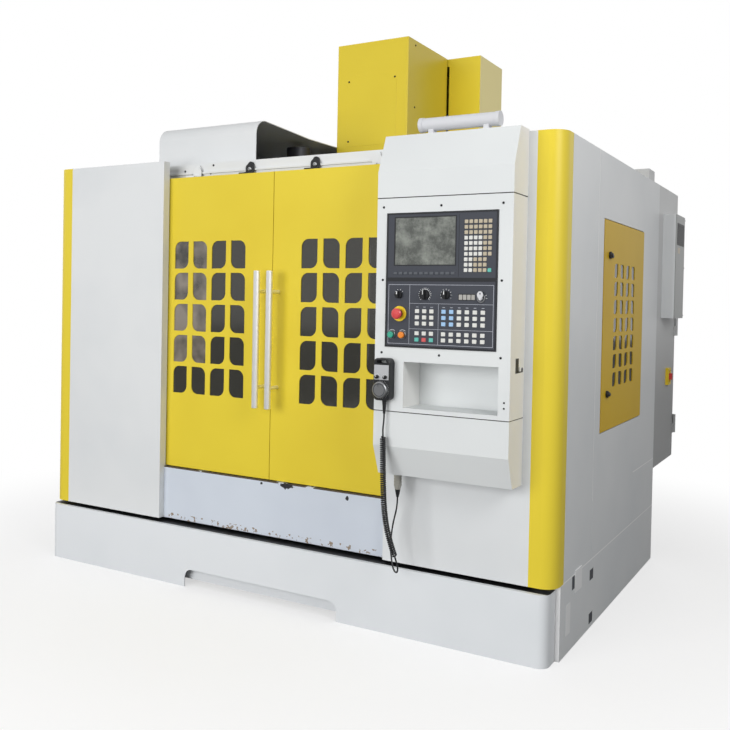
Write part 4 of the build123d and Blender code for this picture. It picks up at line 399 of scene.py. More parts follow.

# White cut by two dark joint lines; painted light makes the right cheek a paler, warmer white.
pendant_coat = powder_coat("white powder coat with painted light on the cheek", "#DCDFDF", "#D6D9DA", 0.42)
cheek = beyond(pendant_coat, facing_axes(pendant_coat)["X"], FACES_RIGHT)
repaint(pendant_coat, cheek, "#F2F1EE")
where = place_axes(pendant_coat)
for seam in PENDANT_SEAMS:
    repaint(pendant_coat, band(pendant_coat, where["Z"], seam, SEAM_HALF), "#2E2C2A")

# Painted shade: the ledge is painted black, so it reads as a deep gap under the sill.
tank_coat = powder_coat("white powder coat with painted shade on the ledge", "#E3E6E9", "#DBDFE2", 0.42)
behind_lip = beyond(tank_coat, place_axes(tank_coat)["Y"], TANK_LIP_BACK)
looks_up = beyond(tank_coat, facing_axes(tank_coat)["Z"], FACES_UP)
repaint(tank_coat, both(tank_coat, behind_lip, looks_up), "#0E0F10")

# Painted shade: the cooler's right side is painted grey, so it stays in shade beside the bright
# panel.
cooler_coat = powder_coat("white powder coat with painted shade on the cooler", WHITE, WHITE_SHADE, 0.42)
repaint(cooler_coat, beyond(cooler_coat, facing_axes(cooler_coat)["X"], FACES_RIGHT), "#A2A4A3")

# Painted shade: the cabinet darkens towards its foot, which gives it weight.
cabinet_coat = powder_coat("grey-white powder coat with painted shade at the foot", "#CDCECE", "#C5C6C6", 0.45)
foot = add_node(cabinet_coat, "ShaderNodeMapRange",
                {"From Min": CABINET_LIGHT, "From Max": CABINET_DARK},
                {"Value": place_axes(cabinet_coat)["Z"]})
repaint(cabinet_coat, foot.outputs["Result"], "#A6A7A7")

# %% [markdown]
# The sill shows its use: a broken brown line along its top edge, rusty specks
# along its foot and three black smudges with ragged edges.

# %% Wear on the sill
TOP_LINE, FOOT_BAND = 0.005, 0.025
LINE_GRIME, FOOT_SPECKS = 0.42, 0.6
SMUDGE_EDGE = 0.48
SMUDGE_DEPTH = 60
# Each smudge: its middle across and up in millimetres, its half size in metres.
SMUDGES = ((104, 502, 0.034, 0.011), (401, 488, 0.007, 0.011), (-30, 497, 0.006, 0.005))

sill_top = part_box("sill_panel")[1].z
sill_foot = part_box("sill_panel")[0].z
grime = noise(sill_coat, 9.0, 5.0)
line = beyond(sill_coat, place_axes(sill_coat)["Z"], sill_top - TOP_LINE)
brown = both(sill_coat, line, beyond(sill_coat, grime.outputs["Fac"], LINE_GRIME))
repaint(sill_coat, brown, "#4A4038")
specks = noise(sill_coat, 70.0, 3.0)
low_edge = beyond(sill_coat, place_axes(sill_coat)["Z"], sill_foot + FOOT_BAND, "LESS_THAN")
rust = both(sill_coat, low_edge, beyond(sill_coat, specks.outputs["Fac"], FOOT_SPECKS))
repaint(sill_coat, rust, "#8F7F6E")
for x, z, across, down in SMUDGES:
    smudge = add_node(sill_coat, "ShaderNodeMapping",
                      {"vector_type": "TEXTURE", "Location": place(x, SMUDGE_DEPTH, z),
                       "Scale": (across, 1, down)},
                      {"Vector": object_place(sill_coat)})
    reach = add_node(sill_coat, "ShaderNodeVectorMath", {"operation": "LENGTH"},
                     {0: smudge.outputs["Vector"]})
    ragged = both(sill_coat, reach.outputs["Value"], specks.outputs["Fac"])
    repaint(sill_coat, beyond(sill_coat, ragged, SMUDGE_EDGE, "LESS_THAN"), "#2B2A2C")
print("post ends at", round(POST_BACK, 4), "sill top", round(sill_top, 4))

# %% [markdown]
# ## Enamelled and machined iron
#
# The bed, column, saddle and head are grey-iron castings under a thick
# two-pack enamel, which keeps the waviness of the filled casting. The table's
# top is scraped and ground iron, and the screws and the spindle are ground
# steel, so both show fine lines in the direction of grinding.

# %% Castings and ground metal
MOTOR_FOOT = 1.9


def cast_enamel(name, hex_code):
    material, _ = new_material(name, hex_code, 0.45, ior=1.5)
    bend(material, noise(material, 25.0, 4.0), 0.25, 0.002)
    return material


def ground_metal(name, hex_code, roughness, along):
    """Fine lines that run along one axis, 0 for X, 1 for Y, 2 for Z."""
    material, shader = new_material(name, hex_code, roughness, metallic=1.0)
    stretch = [900.0, 900.0, 900.0]
    stretch[along] = 6.0
    mapping = add_node(material, "ShaderNodeMapping", {"Scale": stretch},
                       {"Vector": object_place(material)})
    lines = add_node(material, "ShaderNodeTexNoise", {"Scale": 1.0, "Detail": 2.0},
                     {"Vector": mapping.outputs["Vector"]})
    rough = add_node(material, "ShaderNodeMapRange",
                     {"To Min": roughness - 0.08, "To Max": roughness + 0.1},
                     {"Value": lines.outputs["Fac"]})
    link(material, rough.outputs["Result"], shader.inputs["Roughness"])
    bend(material, lines, 0.15, 0.0002)
    return material


# Pale grey with slow waves in its sheen: heavy and cast, not folded.
casting_enamel = cast_enamel("two-pack enamel on grey iron", "#B9BCBB")
gearbox_enamel = cast_enamel("enamel with black motor", "#B9BCBB")
on_motor = beyond(gearbox_enamel, place_axes(gearbox_enamel)["Z"], MOTOR_FOOT)
repaint(gearbox_enamel, on_motor, "#22232B")
# Bare metal: highlights drawn out into fine lines across the grinding.
table_iron = ground_metal("ground grey iron", "#8A8C8E", 0.42, 0)
ground_steel = ground_metal("ground tool steel", "#C6C7C8", 0.3, 1)
brushed_bar = ground_metal("brushed aluminium bar", "#F7F7F5", 0.5, 2)
turned_aluminium = ground_metal("turned aluminium", "#97989A", 0.38, 1)
zinc_sheet = ground_metal("zinc-plated sheet", "#A9ACAE", 0.4, 0)

# %% [markdown]
# ## Plastics, ink and window sheet
#
# Control units are moulded ABS with a fine spark-eroded grain, and their lines
# and scales are screen-printed ink. The door windows are polycarbonate sheet
# with a brown-grey tint: thin and flat, so it is drawn as part see-through and
# part tint, which also lets light reach the work area.

# %% Plastics, ink and window sheet


def moulded(name, hex_code, roughness, grain=0.12):
    """Moulded plastic with the fine grain of a spark-eroded tool."""
    material, _ = new_material(name, hex_code, roughness, ior=1.53)
    bend(material, noise(material, 1400.0, 1.0), grain, 0.0002)
    return material


# Housings: near-black and greys whose grain keeps the highlights soft.
# The black ABS also paints the shade in the hook slot.
black_abs_and_shade = moulded("black ABS and painted shade", "#17181B", 0.5)
slate_abs = moulded("slate grey ABS", "#3B3E46", 0.5)
grey_abs = moulded("grey ABS", "#55595F", 0.5)
plate_grey = moulded("pale grey front foil", "#B4B5B8", 0.5, 0.05)
plug_shell = moulded("black plug with plated collar", "#17181B", 0.45, 0.08)
white_abs = moulded("white ABS", "#D2D3D7", 0.45)
# Buttons: strong colours with a small wet highlight, so that they stand out.
red_abs = moulded("red ABS", "#D2484A", 0.3, 0.04)
green_abs = moulded("green ABS", "#37A086", 0.3, 0.04)
orange_abs = moulded("orange ABS", "#E8862A", 0.3, 0.04)
yellow_abs = moulded("yellow ABS", "#EBCB2A", 0.35, 0.06)
# Trims, cable and motor: black with a satin sheen.
rim_black = moulded("black rim moulding", "#1B1D21", 0.4, 0.06)
jacket = moulded("polyurethane jacket", "#1A1B1D", 0.38, 0.05)
motor_enamel = moulded("black motor enamel", "#232528", 0.4, 0.2)
# Screen-printed ink: crisp, flat lines with hardly a highlight.
line_ink = moulded("light grey ink", "#B6B9C2", 0.55, 0.05)
white_ink = moulded("white ink", "#E9EAEA", 0.55, 0.05)
# The dark ink also paints the shade in the skirts' slots.
dark_ink_and_shade = moulded("dark ink and painted shade", "#33363C", 0.55, 0.05)
# Key caps: silky moulded tops in soft colours that never outshine the buttons.
key_white = moulded("white key cap", "#DBDBD6", 0.42, 0.05)
key_beige = moulded("beige key cap", "#B9AE98", 0.42, 0.05)
key_blue = moulded("light blue key cap", "#9FC3E6", 0.42, 0.05)
key_cyan = moulded("cyan key cap", "#62B9AC", 0.42, 0.05)
key_red = moulded("red key cap", "#CE5C5C", 0.42, 0.05)
digit_grey = moulded("readout digit block", "#A9A7A2", 0.4, 0.05)
# Screws: small dark and bright points that give the eye a scale.
screw_black = ground_metal("blackened steel screw", "#3A3B3D", 0.42, 1)
screw_bright = ground_metal("zinc-plated screw", "#B9BBBC", 0.35, 1)

# %% Plug collar, screen and windows
COLLAR_FOOT = 0.576
PALE_REACH = place(-362, 0, 0).x
PALE_FOOT = 0.985

collar = beyond(plug_shell, place_axes(plug_shell)["Z"], COLLAR_FOOT)
repaint(plug_shell, collar, "#A19F97")

# A switched-off screen: mottled grey-green behind smooth glass.
screen_face = moulded("liquid crystal panel", "#4B4E4A", 0.25, 0.02)
mottle = noise(screen_face, 16.0, 6.0, 0.75)
fade = add_node(screen_face, "ShaderNodeMapRange", {"From Min": 0.4, "From Max": 0.65},
                {"Value": mottle.outputs["Fac"]})
repaint(screen_face, fade.outputs["Result"], "#838780")

# Smoky brown panes: dark from outside, with a hint of the machine behind them.
window_sheet, window_shader = new_material("tinted polycarbonate sheet", "#3C3B36", 0.08,
                                           ior=1.58)
haze = noise(window_sheet, 6.0, 3.0)
clear = add_node(window_sheet, "ShaderNodeMapRange", {"To Min": 0.74, "To Max": 0.9},
                 {"Value": haze.outputs["Fac"]})
# Towards the left door's outer edge, high up, the panes are painted paler in patches
# for the pale work area seen behind them.
pale_patches = add_node(window_sheet, "ShaderNodeMapRange", {"From Min": 0.38, "From Max": 0.58},
                {"Value": haze.outputs["Fac"]})
where = place_axes(window_sheet)
outer = beyond(window_sheet, where["X"], PALE_REACH, "LESS_THAN")
upper = beyond(window_sheet, where["Z"], PALE_FOOT)
paler_panes = both(window_sheet, pale_patches.outputs["Result"], both(window_sheet, outer, upper))
repaint(window_sheet, paler_panes, "#8E857B")
link(window_sheet, clear.outputs["Result"], window_shader.inputs["Alpha"])

# %% [markdown]
# ## Which CAD node gets which finish
#
# Every solid takes a finish, also those inside the machine, because they show
# through the panes and through an open door.

# %% Finishes for the CAD nodes
finishes = {
    casting_enamel: ["bed_casting", "column_casting", "saddle", "spindle_head"],
    gearbox_enamel: ["changer_gearbox"],
    table_iron: ["table"],
    ground_steel: ["x_ballscrew", "y_ballscrew", "z_ballscrew", "spindle", "changer_shaft",
                   "changer_arm"],
    zinc_sheet: ["chip_pan"],
    grey_abs: ["tool_magazine"],
    motor_enamel: ["spindle_motor"],
    yellow_coat: ["head_cover"],
    cover_coat: ["column_cover"],
    service_coat: ["service_door"],
    door_coat: ["left_door", "right_door"],
    post_coat: ["left_side_panel", "right_side_panel"],
    white_coat: ["magazine_hood", "left_front_panel", "right_front_panel", "roof_beam",
                 "rear_panel"],
    skirt_coat: ["base_skirts"],
    tank_coat: ["coolant_tank"],
    cooler_coat: ["cooling_unit"],
    sill_coat: ["sill_panel"],
    cabinet_coat: ["electrical_cabinet", "cabinet_door"],
    pendant_coat: ["pendant_housing"],
    window_sheet: ["left_door_glass", "right_door_glass", "service_glass"],
    brushed_bar: ["left_door_handle", "right_door_handle"],
    slate_abs: ["display_unit", "operator_panel"],
    black_abs_and_shade: ["lower_latch", "upper_latch", "feed_dial", "speed_dial", "panel_selector",
                "handset_body", "handset_axis_knob", "handset_step_knob"],
    plug_shell: ["cord_plug"],
    red_abs: ["main_switch_knob", "estop_button"],
    green_abs: ["start_button"],
    orange_abs: ["stop_button"],
    white_abs: ["status_lamp", "panel_key"],
    turned_aluminium: ["handset_dial"],
    jacket: ["cord_top", "cord_coil", "cord_tail"],
}
for material, names in finishes.items():
    for name in names:
        slots = nodes[name].material_slots
        if slots:
            slots[0].material = material
        else:
            nodes[name].data.materials.append(material)
handset_cord.data.materials.append(jacket)
print("finished nodes", sum(len(names) for names in finishes.values()), "of", len(nodes))

# %% [markdown]
# ## Drawing small pieces
#
# Key caps, rings, scales and screws sit on flat faces. A face is a corner
# point with a direction to the right, one downwards and one outwards, so a
# piece is drawn in millimetres across and down, the way a panel is dimensioned.
# Plates are stacked outlines with a chamfered rim, turned pieces are a profile
# swept round its centre, and bars join two points.

# %% Faces and shapes


def face_at(corner, right, down):
    right, down = Vector(right), Vector(down)
    return place(*corner), right, down, down.cross(right)


def on_face(face, u, v, height=0.0):
    corner, right, down, out = face
    return corner + (right * u + down * v + out * height) / 1000


def box_outline(u, v, width, height, corner=1.0):
    """A rectangle round a point with round corners, which shrinks by an inset."""
    def points(inset=0.0):
        radius = max(corner - inset, 0.2)
        across = width / 2 - inset - radius
        down = height / 2 - inset - radius
        result = []
        for quarter, (su, sv) in enumerate(((1, 1), (-1, 1), (-1, -1), (1, -1))):
            for step in range(4):
                angle = math.radians(90 * quarter + 30 * step)
                result.append((u + su * across + radius * math.cos(angle),
                               v + sv * down + radius * math.sin(angle)))
        return result
    return points


def round_outline(u, v, radius, count=32, wave=0.0):
    """A circle, or a scalloped one where wave takes off every second point."""
    def points(inset=0.0):
        result = []
        for step in range(count):
            angle = 2 * math.pi * step / count
            r = radius - inset - wave * (step % 2)
            result.append((u + r * math.cos(angle), v + r * math.sin(angle)))
        return result
    return points


def plate(mesh, face, outline, low, high, rim=0.0):
    """A plate from low to high off the face, chamfered at its outer edge."""
    levels = [(low, 0), (high - rim, 0)] + ([(high, rim)] if rim else [])
    rings = [[mesh.verts.new(on_face(face, u, v, height)) for u, v in outline(inset)]
             for height, inset in levels]
    for first, second in zip(rings, rings[1:]):
        for a in range(len(first)):
            b = (a + 1) % len(first)
            mesh.faces.new((first[a], first[b], second[b], second[a]))
    mesh.faces.new(rings[0])
    mesh.faces.new(rings[-1])


def turned(mesh, face, u, v, profile, count=32, closed=False):
    """A profile of radius and height swept round a centre; a closed one is a ring."""
    rings = []
    for radius, height in profile:
        ring = []
        for step in range(count):
            angle = 2 * math.pi * step / count
            ring.append(mesh.verts.new(on_face(face, u + radius * math.cos(angle),
                                               v + radius * math.sin(angle), height)))
        rings.append(ring)
    pairs = list(zip(rings, rings[1:])) + ([(rings[-1], rings[0])] if closed else [])
    for first, second in pairs:
        for a in range(count):
            b = (a + 1) % count
            mesh.faces.new((first[a], first[b], second[b], second[a]))
    if not closed:
        mesh.faces.new(rings[0])
        mesh.faces.new(rings[-1])


def bar(mesh, face, start, end, width, low, high):
    """A straight bar from one point to another, with this width."""
    along = Vector(end) - Vector(start)
    side = Vector((-along.y, along.x)).normalized() * width / 2
    corners = [Vector(start) - side, Vector(end) - side, Vector(end) + side, Vector(start) + side]
    plate(mesh, face, lambda inset=0.0: [(c.x, c.y) for c in corners], low, high)


def frame_lines(mesh, face, left, top, right, bottom, width, low, high):
    """Four bars round a rectangle."""
    half = width / 2
    for start, end in (((left - half, top), (right + half, top)),
                       ((left - half, bottom), (right + half, bottom)),
                       ((left, top + half), (left, bottom - half)),
                       ((right, top + half), (right, bottom - half))):
        bar(mesh, face, start, end, width, low, high)


def polar(u, v, radius, degrees):
    """The point at an angle from straight up, clockwise."""
    angle = math.radians(degrees)
    return (u + radius * math.sin(angle), v - radius * math.cos(angle))


def scale(mesh, face, u, v, inner, outer, angles, width, low, high):
    """Short ticks round a dial."""
    for degrees in angles:
        bar(mesh, face, polar(u, v, inner, degrees), polar(u, v, outer, degrees), width, low, high)


def piece(name, mesh, material, slot, body="frame", crease=35):
    """Turns drawn faces into one named piece that rides on a body."""
    bmesh.ops.recalc_face_normals(mesh, faces=mesh.faces)
    data = bpy.data.meshes.new(name)
    mesh.to_mesh(data)
    mesh.free()
    data.materials.append(material)
    data.polygons.foreach_set("use_smooth", [True] * len(data.polygons))
    data.set_sharp_from_angle(angle=math.radians(crease))
    made = bpy.data.objects.new(name, data)
    bpy.context.scene.collection.objects.link(made)
    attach(made, body)
    print(name, "faces", len(data.polygons), "on", body)
    return made


# %% [markdown]
# ## The display unit's face
#
# The unit's CAD body has a shallow recess for the screen and blocks for its
# keys. The screen is a bonded glass with a thin gasket round it. The key caps
# are two-shot mouldings in beige and white with one cyan key, and soft keys in
# the colour of the bezel lie under the screen.

# %% Screen, rim and display keys
unit_face = face_at((655, -144, 1616), (1, 0, 0), (0, 0, -1))
SCREEN = (157, 105, 243.4, 173.4)
KEY_BLOCK = 2.0
FIRST_KEY, KEY_PITCH = (320, 39), (18, 19.1)
CAP_SIDE_GAP = 0.3
CAP_RISE = 0.8

drawn = bmesh.new()
plate(drawn, unit_face, box_outline(*SCREEN, 1.5), -2.1, -1.2)
piece("screen_glass", drawn, screen_face, "grey_plastic")

drawn = bmesh.new()
frame_lines(drawn, unit_face, 34, 17, 280, 193, 4, -0.1, 0.6)
frame_lines(drawn, unit_face, 3.5, 3.5, 436.5, 241.5, 7, -0.1, 0.5)
frame_lines(drawn, unit_face, 3.5, 248.5, 436.5, 491.5, 7, -0.1, 0.5)
bar(drawn, unit_face, (292, 10), (292, 235), 1.4, -0.1, 0.3)
piece("panel_rims", drawn, rim_black, "black_plastic")


def cap(mesh, u, v, width, height):
    """A key cap that covers its block, with softly broken edges."""
    outline = box_outline(u, v, width + CAP_SIDE_GAP, height + CAP_SIDE_GAP, 1.6)
    plate(mesh, unit_face, outline, 0.0, KEY_BLOCK + CAP_RISE, 0.8)


def display_key_colour(column, row):
    """The cap colour at a place in the display unit's key block."""
    if (column, row) == (5, 9):
        return "cyan"
    if row < 3:
        return "beige"
    whites = 4 if row < 7 else 2
    return "white" if column < whites else "beige"


caps = {name: bmesh.new() for name in ("white", "beige", "blue", "cyan", "red")}
for row in range(10):
    for column in range(6):
        if column == 5 and row in (7, 8):
            continue
        u, v = FIRST_KEY[0] + column * KEY_PITCH[0], FIRST_KEY[1] + row * KEY_PITCH[1]
        cap(caps[display_key_colour(column, row)], u, v, 13, 13)

drawn = bmesh.new()
for column in range(12):
    cap(drawn, 40 + column * 21, 222, 14, 9)
piece("soft_keys", drawn, grey_abs, "grey_plastic")

# %% [markdown]
# ## The operator panel's face
#
# The lower panel is laid out in printed boxes. White caps fill most of its
# keys, with two columns in light blue and three coloured keys at the lower
# left. The emergency stop stands on a yellow disc, the push buttons in bright
# rings, and the dials have printed scales of plain ticks.

# %% Operator keys
LEFT_COLUMNS = [132, 161, 190]
RIGHT_COLUMNS = [238 + 30.2 * index for index in range(6)]
for v in (360, 382.5, 405):
    for u in LEFT_COLUMNS:
        cap(caps["white"], u, v, 16, 14)
    for index, u in enumerate(RIGHT_COLUMNS):
        cap(caps["blue" if index < 2 else "white"], u, v, 16, 14)
for u in LEFT_COLUMNS:
    cap(caps["white"], u, 441, 16, 14)
for u, colour in zip(LEFT_COLUMNS, ("cyan", "red", "cyan")):
    cap(caps[colour], u, 464, 16, 14)
for v in (441, 463):
    for u in RIGHT_COLUMNS:
        cap(caps["white"], u, v, 16, 14)
cap_finish = {"white": (key_white, "white_plastic"), "beige": (key_beige, "grey_plastic"),
              "blue": (key_blue, "white_plastic"), "cyan": (key_cyan, "green_plastic"),
              "red": (key_red, "red_plastic")}
for colour, mesh in caps.items():
    piece("keys_" + colour, mesh, *cap_finish[colour])

# %% [markdown]
# Printed lines, scales and small marks are drawn as very thin raised ink, so
# they stay sharp at any distance. The readout is a dark window with four pale
# digit blocks on it.

# %% Printed lines, scales and readout
INK = (-0.1, 0.25)
ESTOP, START, STOP = (60, 371), (29, 449), (73, 449)
FEED, SPEED, SELECTOR, LOCK, READOUT = (162, 300), (246, 300), (56, 301), (381, 310), (326, 307)

drawn = bmesh.new()
frame_lines(drawn, unit_face, 13, 264, 427, 481, 1.5, *INK)
for start, end in (((100, 264), (100, 481)), ((217, 332), (217, 481)), ((100, 332), (427, 332)),
                   ((100, 425), (427, 425))):
    bar(drawn, unit_face, start, end, 1.2, *INK)
for u in LEFT_COLUMNS + RIGHT_COLUMNS:
    bar(drawn, unit_face, (u - 5, 345), (u + 5, 345), 1.8, *INK)
piece("panel_lines", drawn, line_ink, "white_plastic")

drawn = bmesh.new()
scale(drawn, unit_face, *FEED, 21, 26, range(-135, 136, 18), 1.2, *INK)
for degrees in range(-135, 128, 9):
    bar(drawn, unit_face, polar(*FEED, 20.5, degrees), polar(*FEED, 20.5, degrees + 9), 1.0, *INK)
scale(drawn, unit_face, *SPEED, 18, 23, range(-120, 121, 30), 1.3, *INK)
scale(drawn, unit_face, *SELECTOR, 17, 21, (-50, -18, 18, 50), 1.4, *INK)
scale(drawn, unit_face, *LOCK, 18, 23, (60, 90), 1.4, *INK)
for u, v in (START, STOP):
    for degrees in range(-40, 31, 10):
        start, end = polar(u, v, 18.5, degrees), polar(u, v, 18.5, degrees + 10)
        bar(drawn, unit_face, start, end, 1.2, *INK)
piece("dial_scales", drawn, white_ink, "white_plastic")

drawn = bmesh.new()
plate(drawn, unit_face, box_outline(*READOUT, 66.4, 24.4, 1), -1.6, -1.1)
piece("readout_window", drawn, rim_black, "black_plastic")
drawn = bmesh.new()
for index in range(4):
    digit = box_outline(READOUT[0] - 24 + 16 * index, READOUT[1], 13, 18, 1)
    plate(drawn, unit_face, digit, -1.2, -0.5)
piece("readout_digits", drawn, digit_grey, "grey_plastic")

# %% Button rings and lock barrel
DISC = [(15, 0), (28, 0), (28, 4.2), (26.5, 5.6), (15, 5.6)]
BUTTON_RING = [(12.8, 0), (15.6, 0), (15.6, 3.6), (14.6, 4.6), (12.8, 4.6)]
BARREL = [(11.5, 0), (15.6, 0), (15.6, 2.4), (14.8, 3.3), (11.5, 3.3)]

drawn = bmesh.new()
turned(drawn, unit_face, *ESTOP, DISC, 48, closed=True)
piece("estop_disc", drawn, yellow_abs, "yellow_paint")
drawn = bmesh.new()
for at in (START, STOP):
    turned(drawn, unit_face, *at, BUTTON_RING, 40, closed=True)
turned(drawn, unit_face, *LOCK, BARREL, 40, closed=True)
piece("button_rings", drawn, turned_aluminium, "bright_steel")


def knob_mark(name, node, at, reach, width, body):
    """A white line on a knob's grip, from its middle to its tip."""
    top = (unit_face[0].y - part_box(node)[0].y) * 1000
    mark = bmesh.new()
    bar(mark, unit_face, (at[0], at[1] - 1), (at[0], at[1] - reach), width, top - 0.1, top + 0.3)
    piece(name, mark, white_ink, "white_plastic", body)


knob_mark("feed_mark", "feed_dial", FEED, 16, 2.2, "feed_dial")
knob_mark("speed_mark", "speed_dial", SPEED, 13, 3.0, "speed_dial")
knob_mark("selector_mark", "panel_selector", SELECTOR, 12, 3.4, "selector")

# %% [markdown]
# ## Screws
#
# Button-head screws hold the front plates, the hanger plates, the head cover's
# hatch, the roof beam and the cooler. Each is a low dome with a socket.

# %% Screws


def screw(mesh, face, u, v, radius, base=0.0):
    """A button-head screw with a socket in its top."""
    rise = radius * 0.55
    profile = [(radius, base), (radius, base + rise * 0.35), (radius * 0.8, base + rise * 0.8),
               (radius * 0.5, base + rise), (radius * 0.45, base + rise),
               (radius * 0.4, base + rise * 0.4)]
    turned(mesh, face, u, v, profile, 24)


PLATE_SCREWS = [(-16, -23), (219, -22), (455, -22), (-15, 247), (455, 247), (-14, 517),
                (222, 518), (457, 516)]
HANGER_PLATE_Y = 96
drawn = bmesh.new()
for u, v in PLATE_SCREWS:
    screw(drawn, unit_face, u, v, 4.5, -3.0)
for x, z in ((1128, 945), (1128, 925)):
    screw(drawn, unit_face, x - 655, 1616 - z, 3.5, -3.0)
piece("plate_screws", drawn, screw_black, "bright_steel")

hanger_face = face_at((0, HANGER_PLATE_Y, 0), (1, 0, 0), (0, 0, -1))
for side, body in ((-1, "left_door"), (1, "right_door")):
    drawn = bmesh.new()
    screw(drawn, hanger_face, side * 172, -1862, 9)
    piece(body + "_hanger_screws", drawn, screw_bright, "bright_steel", body)

# %% [markdown]
# The head cover's front is a separate sheet, folded at its edges, with a hatch
# plate over the spindle motor. Both are thin sheets screwed on from outside.

# %% Front sheet and hatch of the head cover
COVER_FOOT = 1912
SHEET_MARGINS = 8
cover_face = face_at((0, 870, 0), (1, 0, 0), (0, 0, -1))
cover_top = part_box("head_cover")[1].z * 1000
cover_middle = -(cover_top + COVER_FOOT) / 2
cover_height = cover_top - (COVER_FOOT + SHEET_MARGINS)
drawn = bmesh.new()
plate(drawn, cover_face, box_outline(0, cover_middle, 396, cover_height, 3), 0.0, 1.2, 0.6)
piece("cover_front_sheet", drawn, yellow_coat, "yellow_paint", "head")
drawn = bmesh.new()
plate(drawn, cover_face, box_outline(0, -2260, 286, 356, 3), 1.1, 2.6, 0.5)
piece("hatch_plate", drawn, yellow_coat, "yellow_paint", "head")
drawn = bmesh.new()
for u, v in ((-133, -2414), (133, -2414), (-133, -2108), (133, -2108)):
    screw(drawn, cover_face, u, v, 5, 2.6)
cover_side = face_at((205, 0, 0), (0, 1, 0), (0, 0, -1))
for v in (-2580, -2270, -1980):
    screw(drawn, cover_side, 948, v, 5)
piece("hatch_screws", drawn, screw_black, "bright_steel", "head")

# %% Screws in the roof beam
beam_face = face_at((0, 112, 0), (1, 0, 0), (0, 0, -1))
drawn = bmesh.new()
for u, v in ((-558, -1875), (-390, -1894), (-406, -1858)):
    screw(drawn, beam_face, u, v, 5)
piece("beam_screws", drawn, screw_black, "bright_steel")

# %% [markdown]
# ## The handset
#
# A grey plate fills the shallow recess behind the two pointer knobs, the knobs
# carry a white line, and a printed ring of ticks lies round the handwheel.

# %% Handset marks
handset_face = face_at((662, -179, 1079), (1, 0, 0), (0, 0, -1))
drawn = bmesh.new()
plate(drawn, handset_face, box_outline(0, 52, 61, 55, 2), -1.1, -0.2)
piece("handset_plate", drawn, plate_grey, "grey_plastic")
drawn = bmesh.new()
scale(drawn, handset_face, 0, 116, 30.8, 33.2, range(0, 360, 12), 0.9, -0.1, 0.25)
scale(drawn, handset_face, -17, 69, 9, 12, (-60, -30, 0, 30, 60), 1.2, -0.3, 0.1)
scale(drawn, handset_face, 17, 69, 9, 12, (-40, 0, 40), 1.2, -0.3, 0.1)
piece("handset_scale", drawn, white_ink, "white_plastic")
for side, node, body in ((-17, "handset_axis_knob", "axis_knob"),
                         (17, "handset_step_knob", "step_knob")):
    top = (handset_face[0].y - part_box(node)[0].y) * 1000
    drawn = bmesh.new()
    bar(drawn, handset_face, (side, 69), (side, 63), 1.6, top - 0.1, top + 0.3)
    piece(body + "_mark", drawn, white_ink, "white_plastic", body)
dial_top = (handset_face[0].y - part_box("handset_dial")[0].y) * 1000
drawn = bmesh.new()
ring = [(21.5, dial_top - 0.1), (24.5, dial_top - 0.1), (24.2, dial_top + 0.3),
        (21.8, dial_top + 0.3)]
turned(drawn, handset_face, 0, 116, ring, 48, closed=True)
piece("dial_ring", drawn, dark_ink_and_shade, "black_plastic", "handset_dial")

# %% [markdown]
# ## The right side
#
# The service door closes with two quarter-turn latches, whose black wings
# point to the back. The main switch has a yellow escutcheon. The cooler draws
# its air through a black grille of level blades.

# %% Latch wings, switch plate and cooler grille
side_face = face_at((1280, 0, 0), (0, 1, 0), (0, 0, -1))


def wing_outline(u, v):
    """A latch wing: three lobes, the long one to the back."""
    def points(inset=0.0):
        result = []
        for step in range(48):
            angle = 2 * math.pi * step / 48
            lobe = max(0.0, math.cos(1.5 * angle)) ** 2 if abs(math.sin(angle / 2)) < 0.5 else 0.0
            side_lobe = max(0.0, math.cos(3 * angle)) * 4
            radius = 12 + 22 * lobe + side_lobe - inset
            result.append((u + radius * math.cos(angle), v + radius * math.sin(angle)))
        return result
    return points


for height, body in ((923, "lower_latch"), (1498, "upper_latch")):
    drawn = bmesh.new()
    plate(drawn, side_face, wing_outline(632, -height), 5.5, 13, 2)
    turned(drawn, side_face, 632, -height, [(9, 12.5), (9, 16), (7, 18), (3, 18)], 24)
    piece(body + "_wing", drawn, black_abs_and_shade, "black_plastic", body)

drawn = bmesh.new()
frame_lines(drawn, side_face, 1873, -953, 1927, -877, 14, 0.0, 16)
piece("switch_housing", drawn, yellow_abs, "yellow_paint")

drawn = bmesh.new()
plate(drawn, side_face, box_outline(1840, -1670, 192, 116, 3), 64.6, 65.6, 0.4)
for index in range(9):
    v = -1716 + index * 11.5
    bar(drawn, side_face, (1752, v), (1928, v), 4.0, 65.4, 67.6)
piece("cooler_grille", drawn, black_abs_and_shade, "black_plastic")
drawn = bmesh.new()
for u in (1726, 1954):
    for v in (-1755, -1500, -1245):
        screw(drawn, side_face, u, v, 4, 65)
piece("cooler_screws", drawn, screw_bright, "bright_steel")
drawn = bmesh.new()
plate(drawn, side_face, box_outline(1800, -1585, 60, 30, 1), 65.0, 65.4)
piece("cooler_label", drawn, key_beige, "white_plastic")

# %% Hook slot
# Painted shade: black plates draw the whole slot in the pendant's right cheek, which
# looks larger than the hole in the solid.
cheek_face = face_at((1148, 0, 0), (0, 1, 0), (0, 0, -1))
drawn = bmesh.new()
plate(drawn, cheek_face, box_outline(-70, -1071, 24, 52, 3), -0.1, 0.4)
bar(drawn, cheek_face, (-60, -1047.5), (-22, -1047.5), 4, -0.1, 0.4)
plate(drawn, cheek_face, round_outline(-22, -1054, 9), -0.1, 0.4)
piece("hook_slot_shade", drawn, black_abs_and_shade, "black_plastic")

# %% [markdown]
# ## The skirts' clip and slots
#
# A bright folded clip lies on the right skirt, with a dark slot of painted shade and an
# upright strip in front of it. Dark plates of painted shade make the skirts' own slots look deep.

# %% Skirt clip and slots
SLOT_HEIGHTS = (-212, -37)
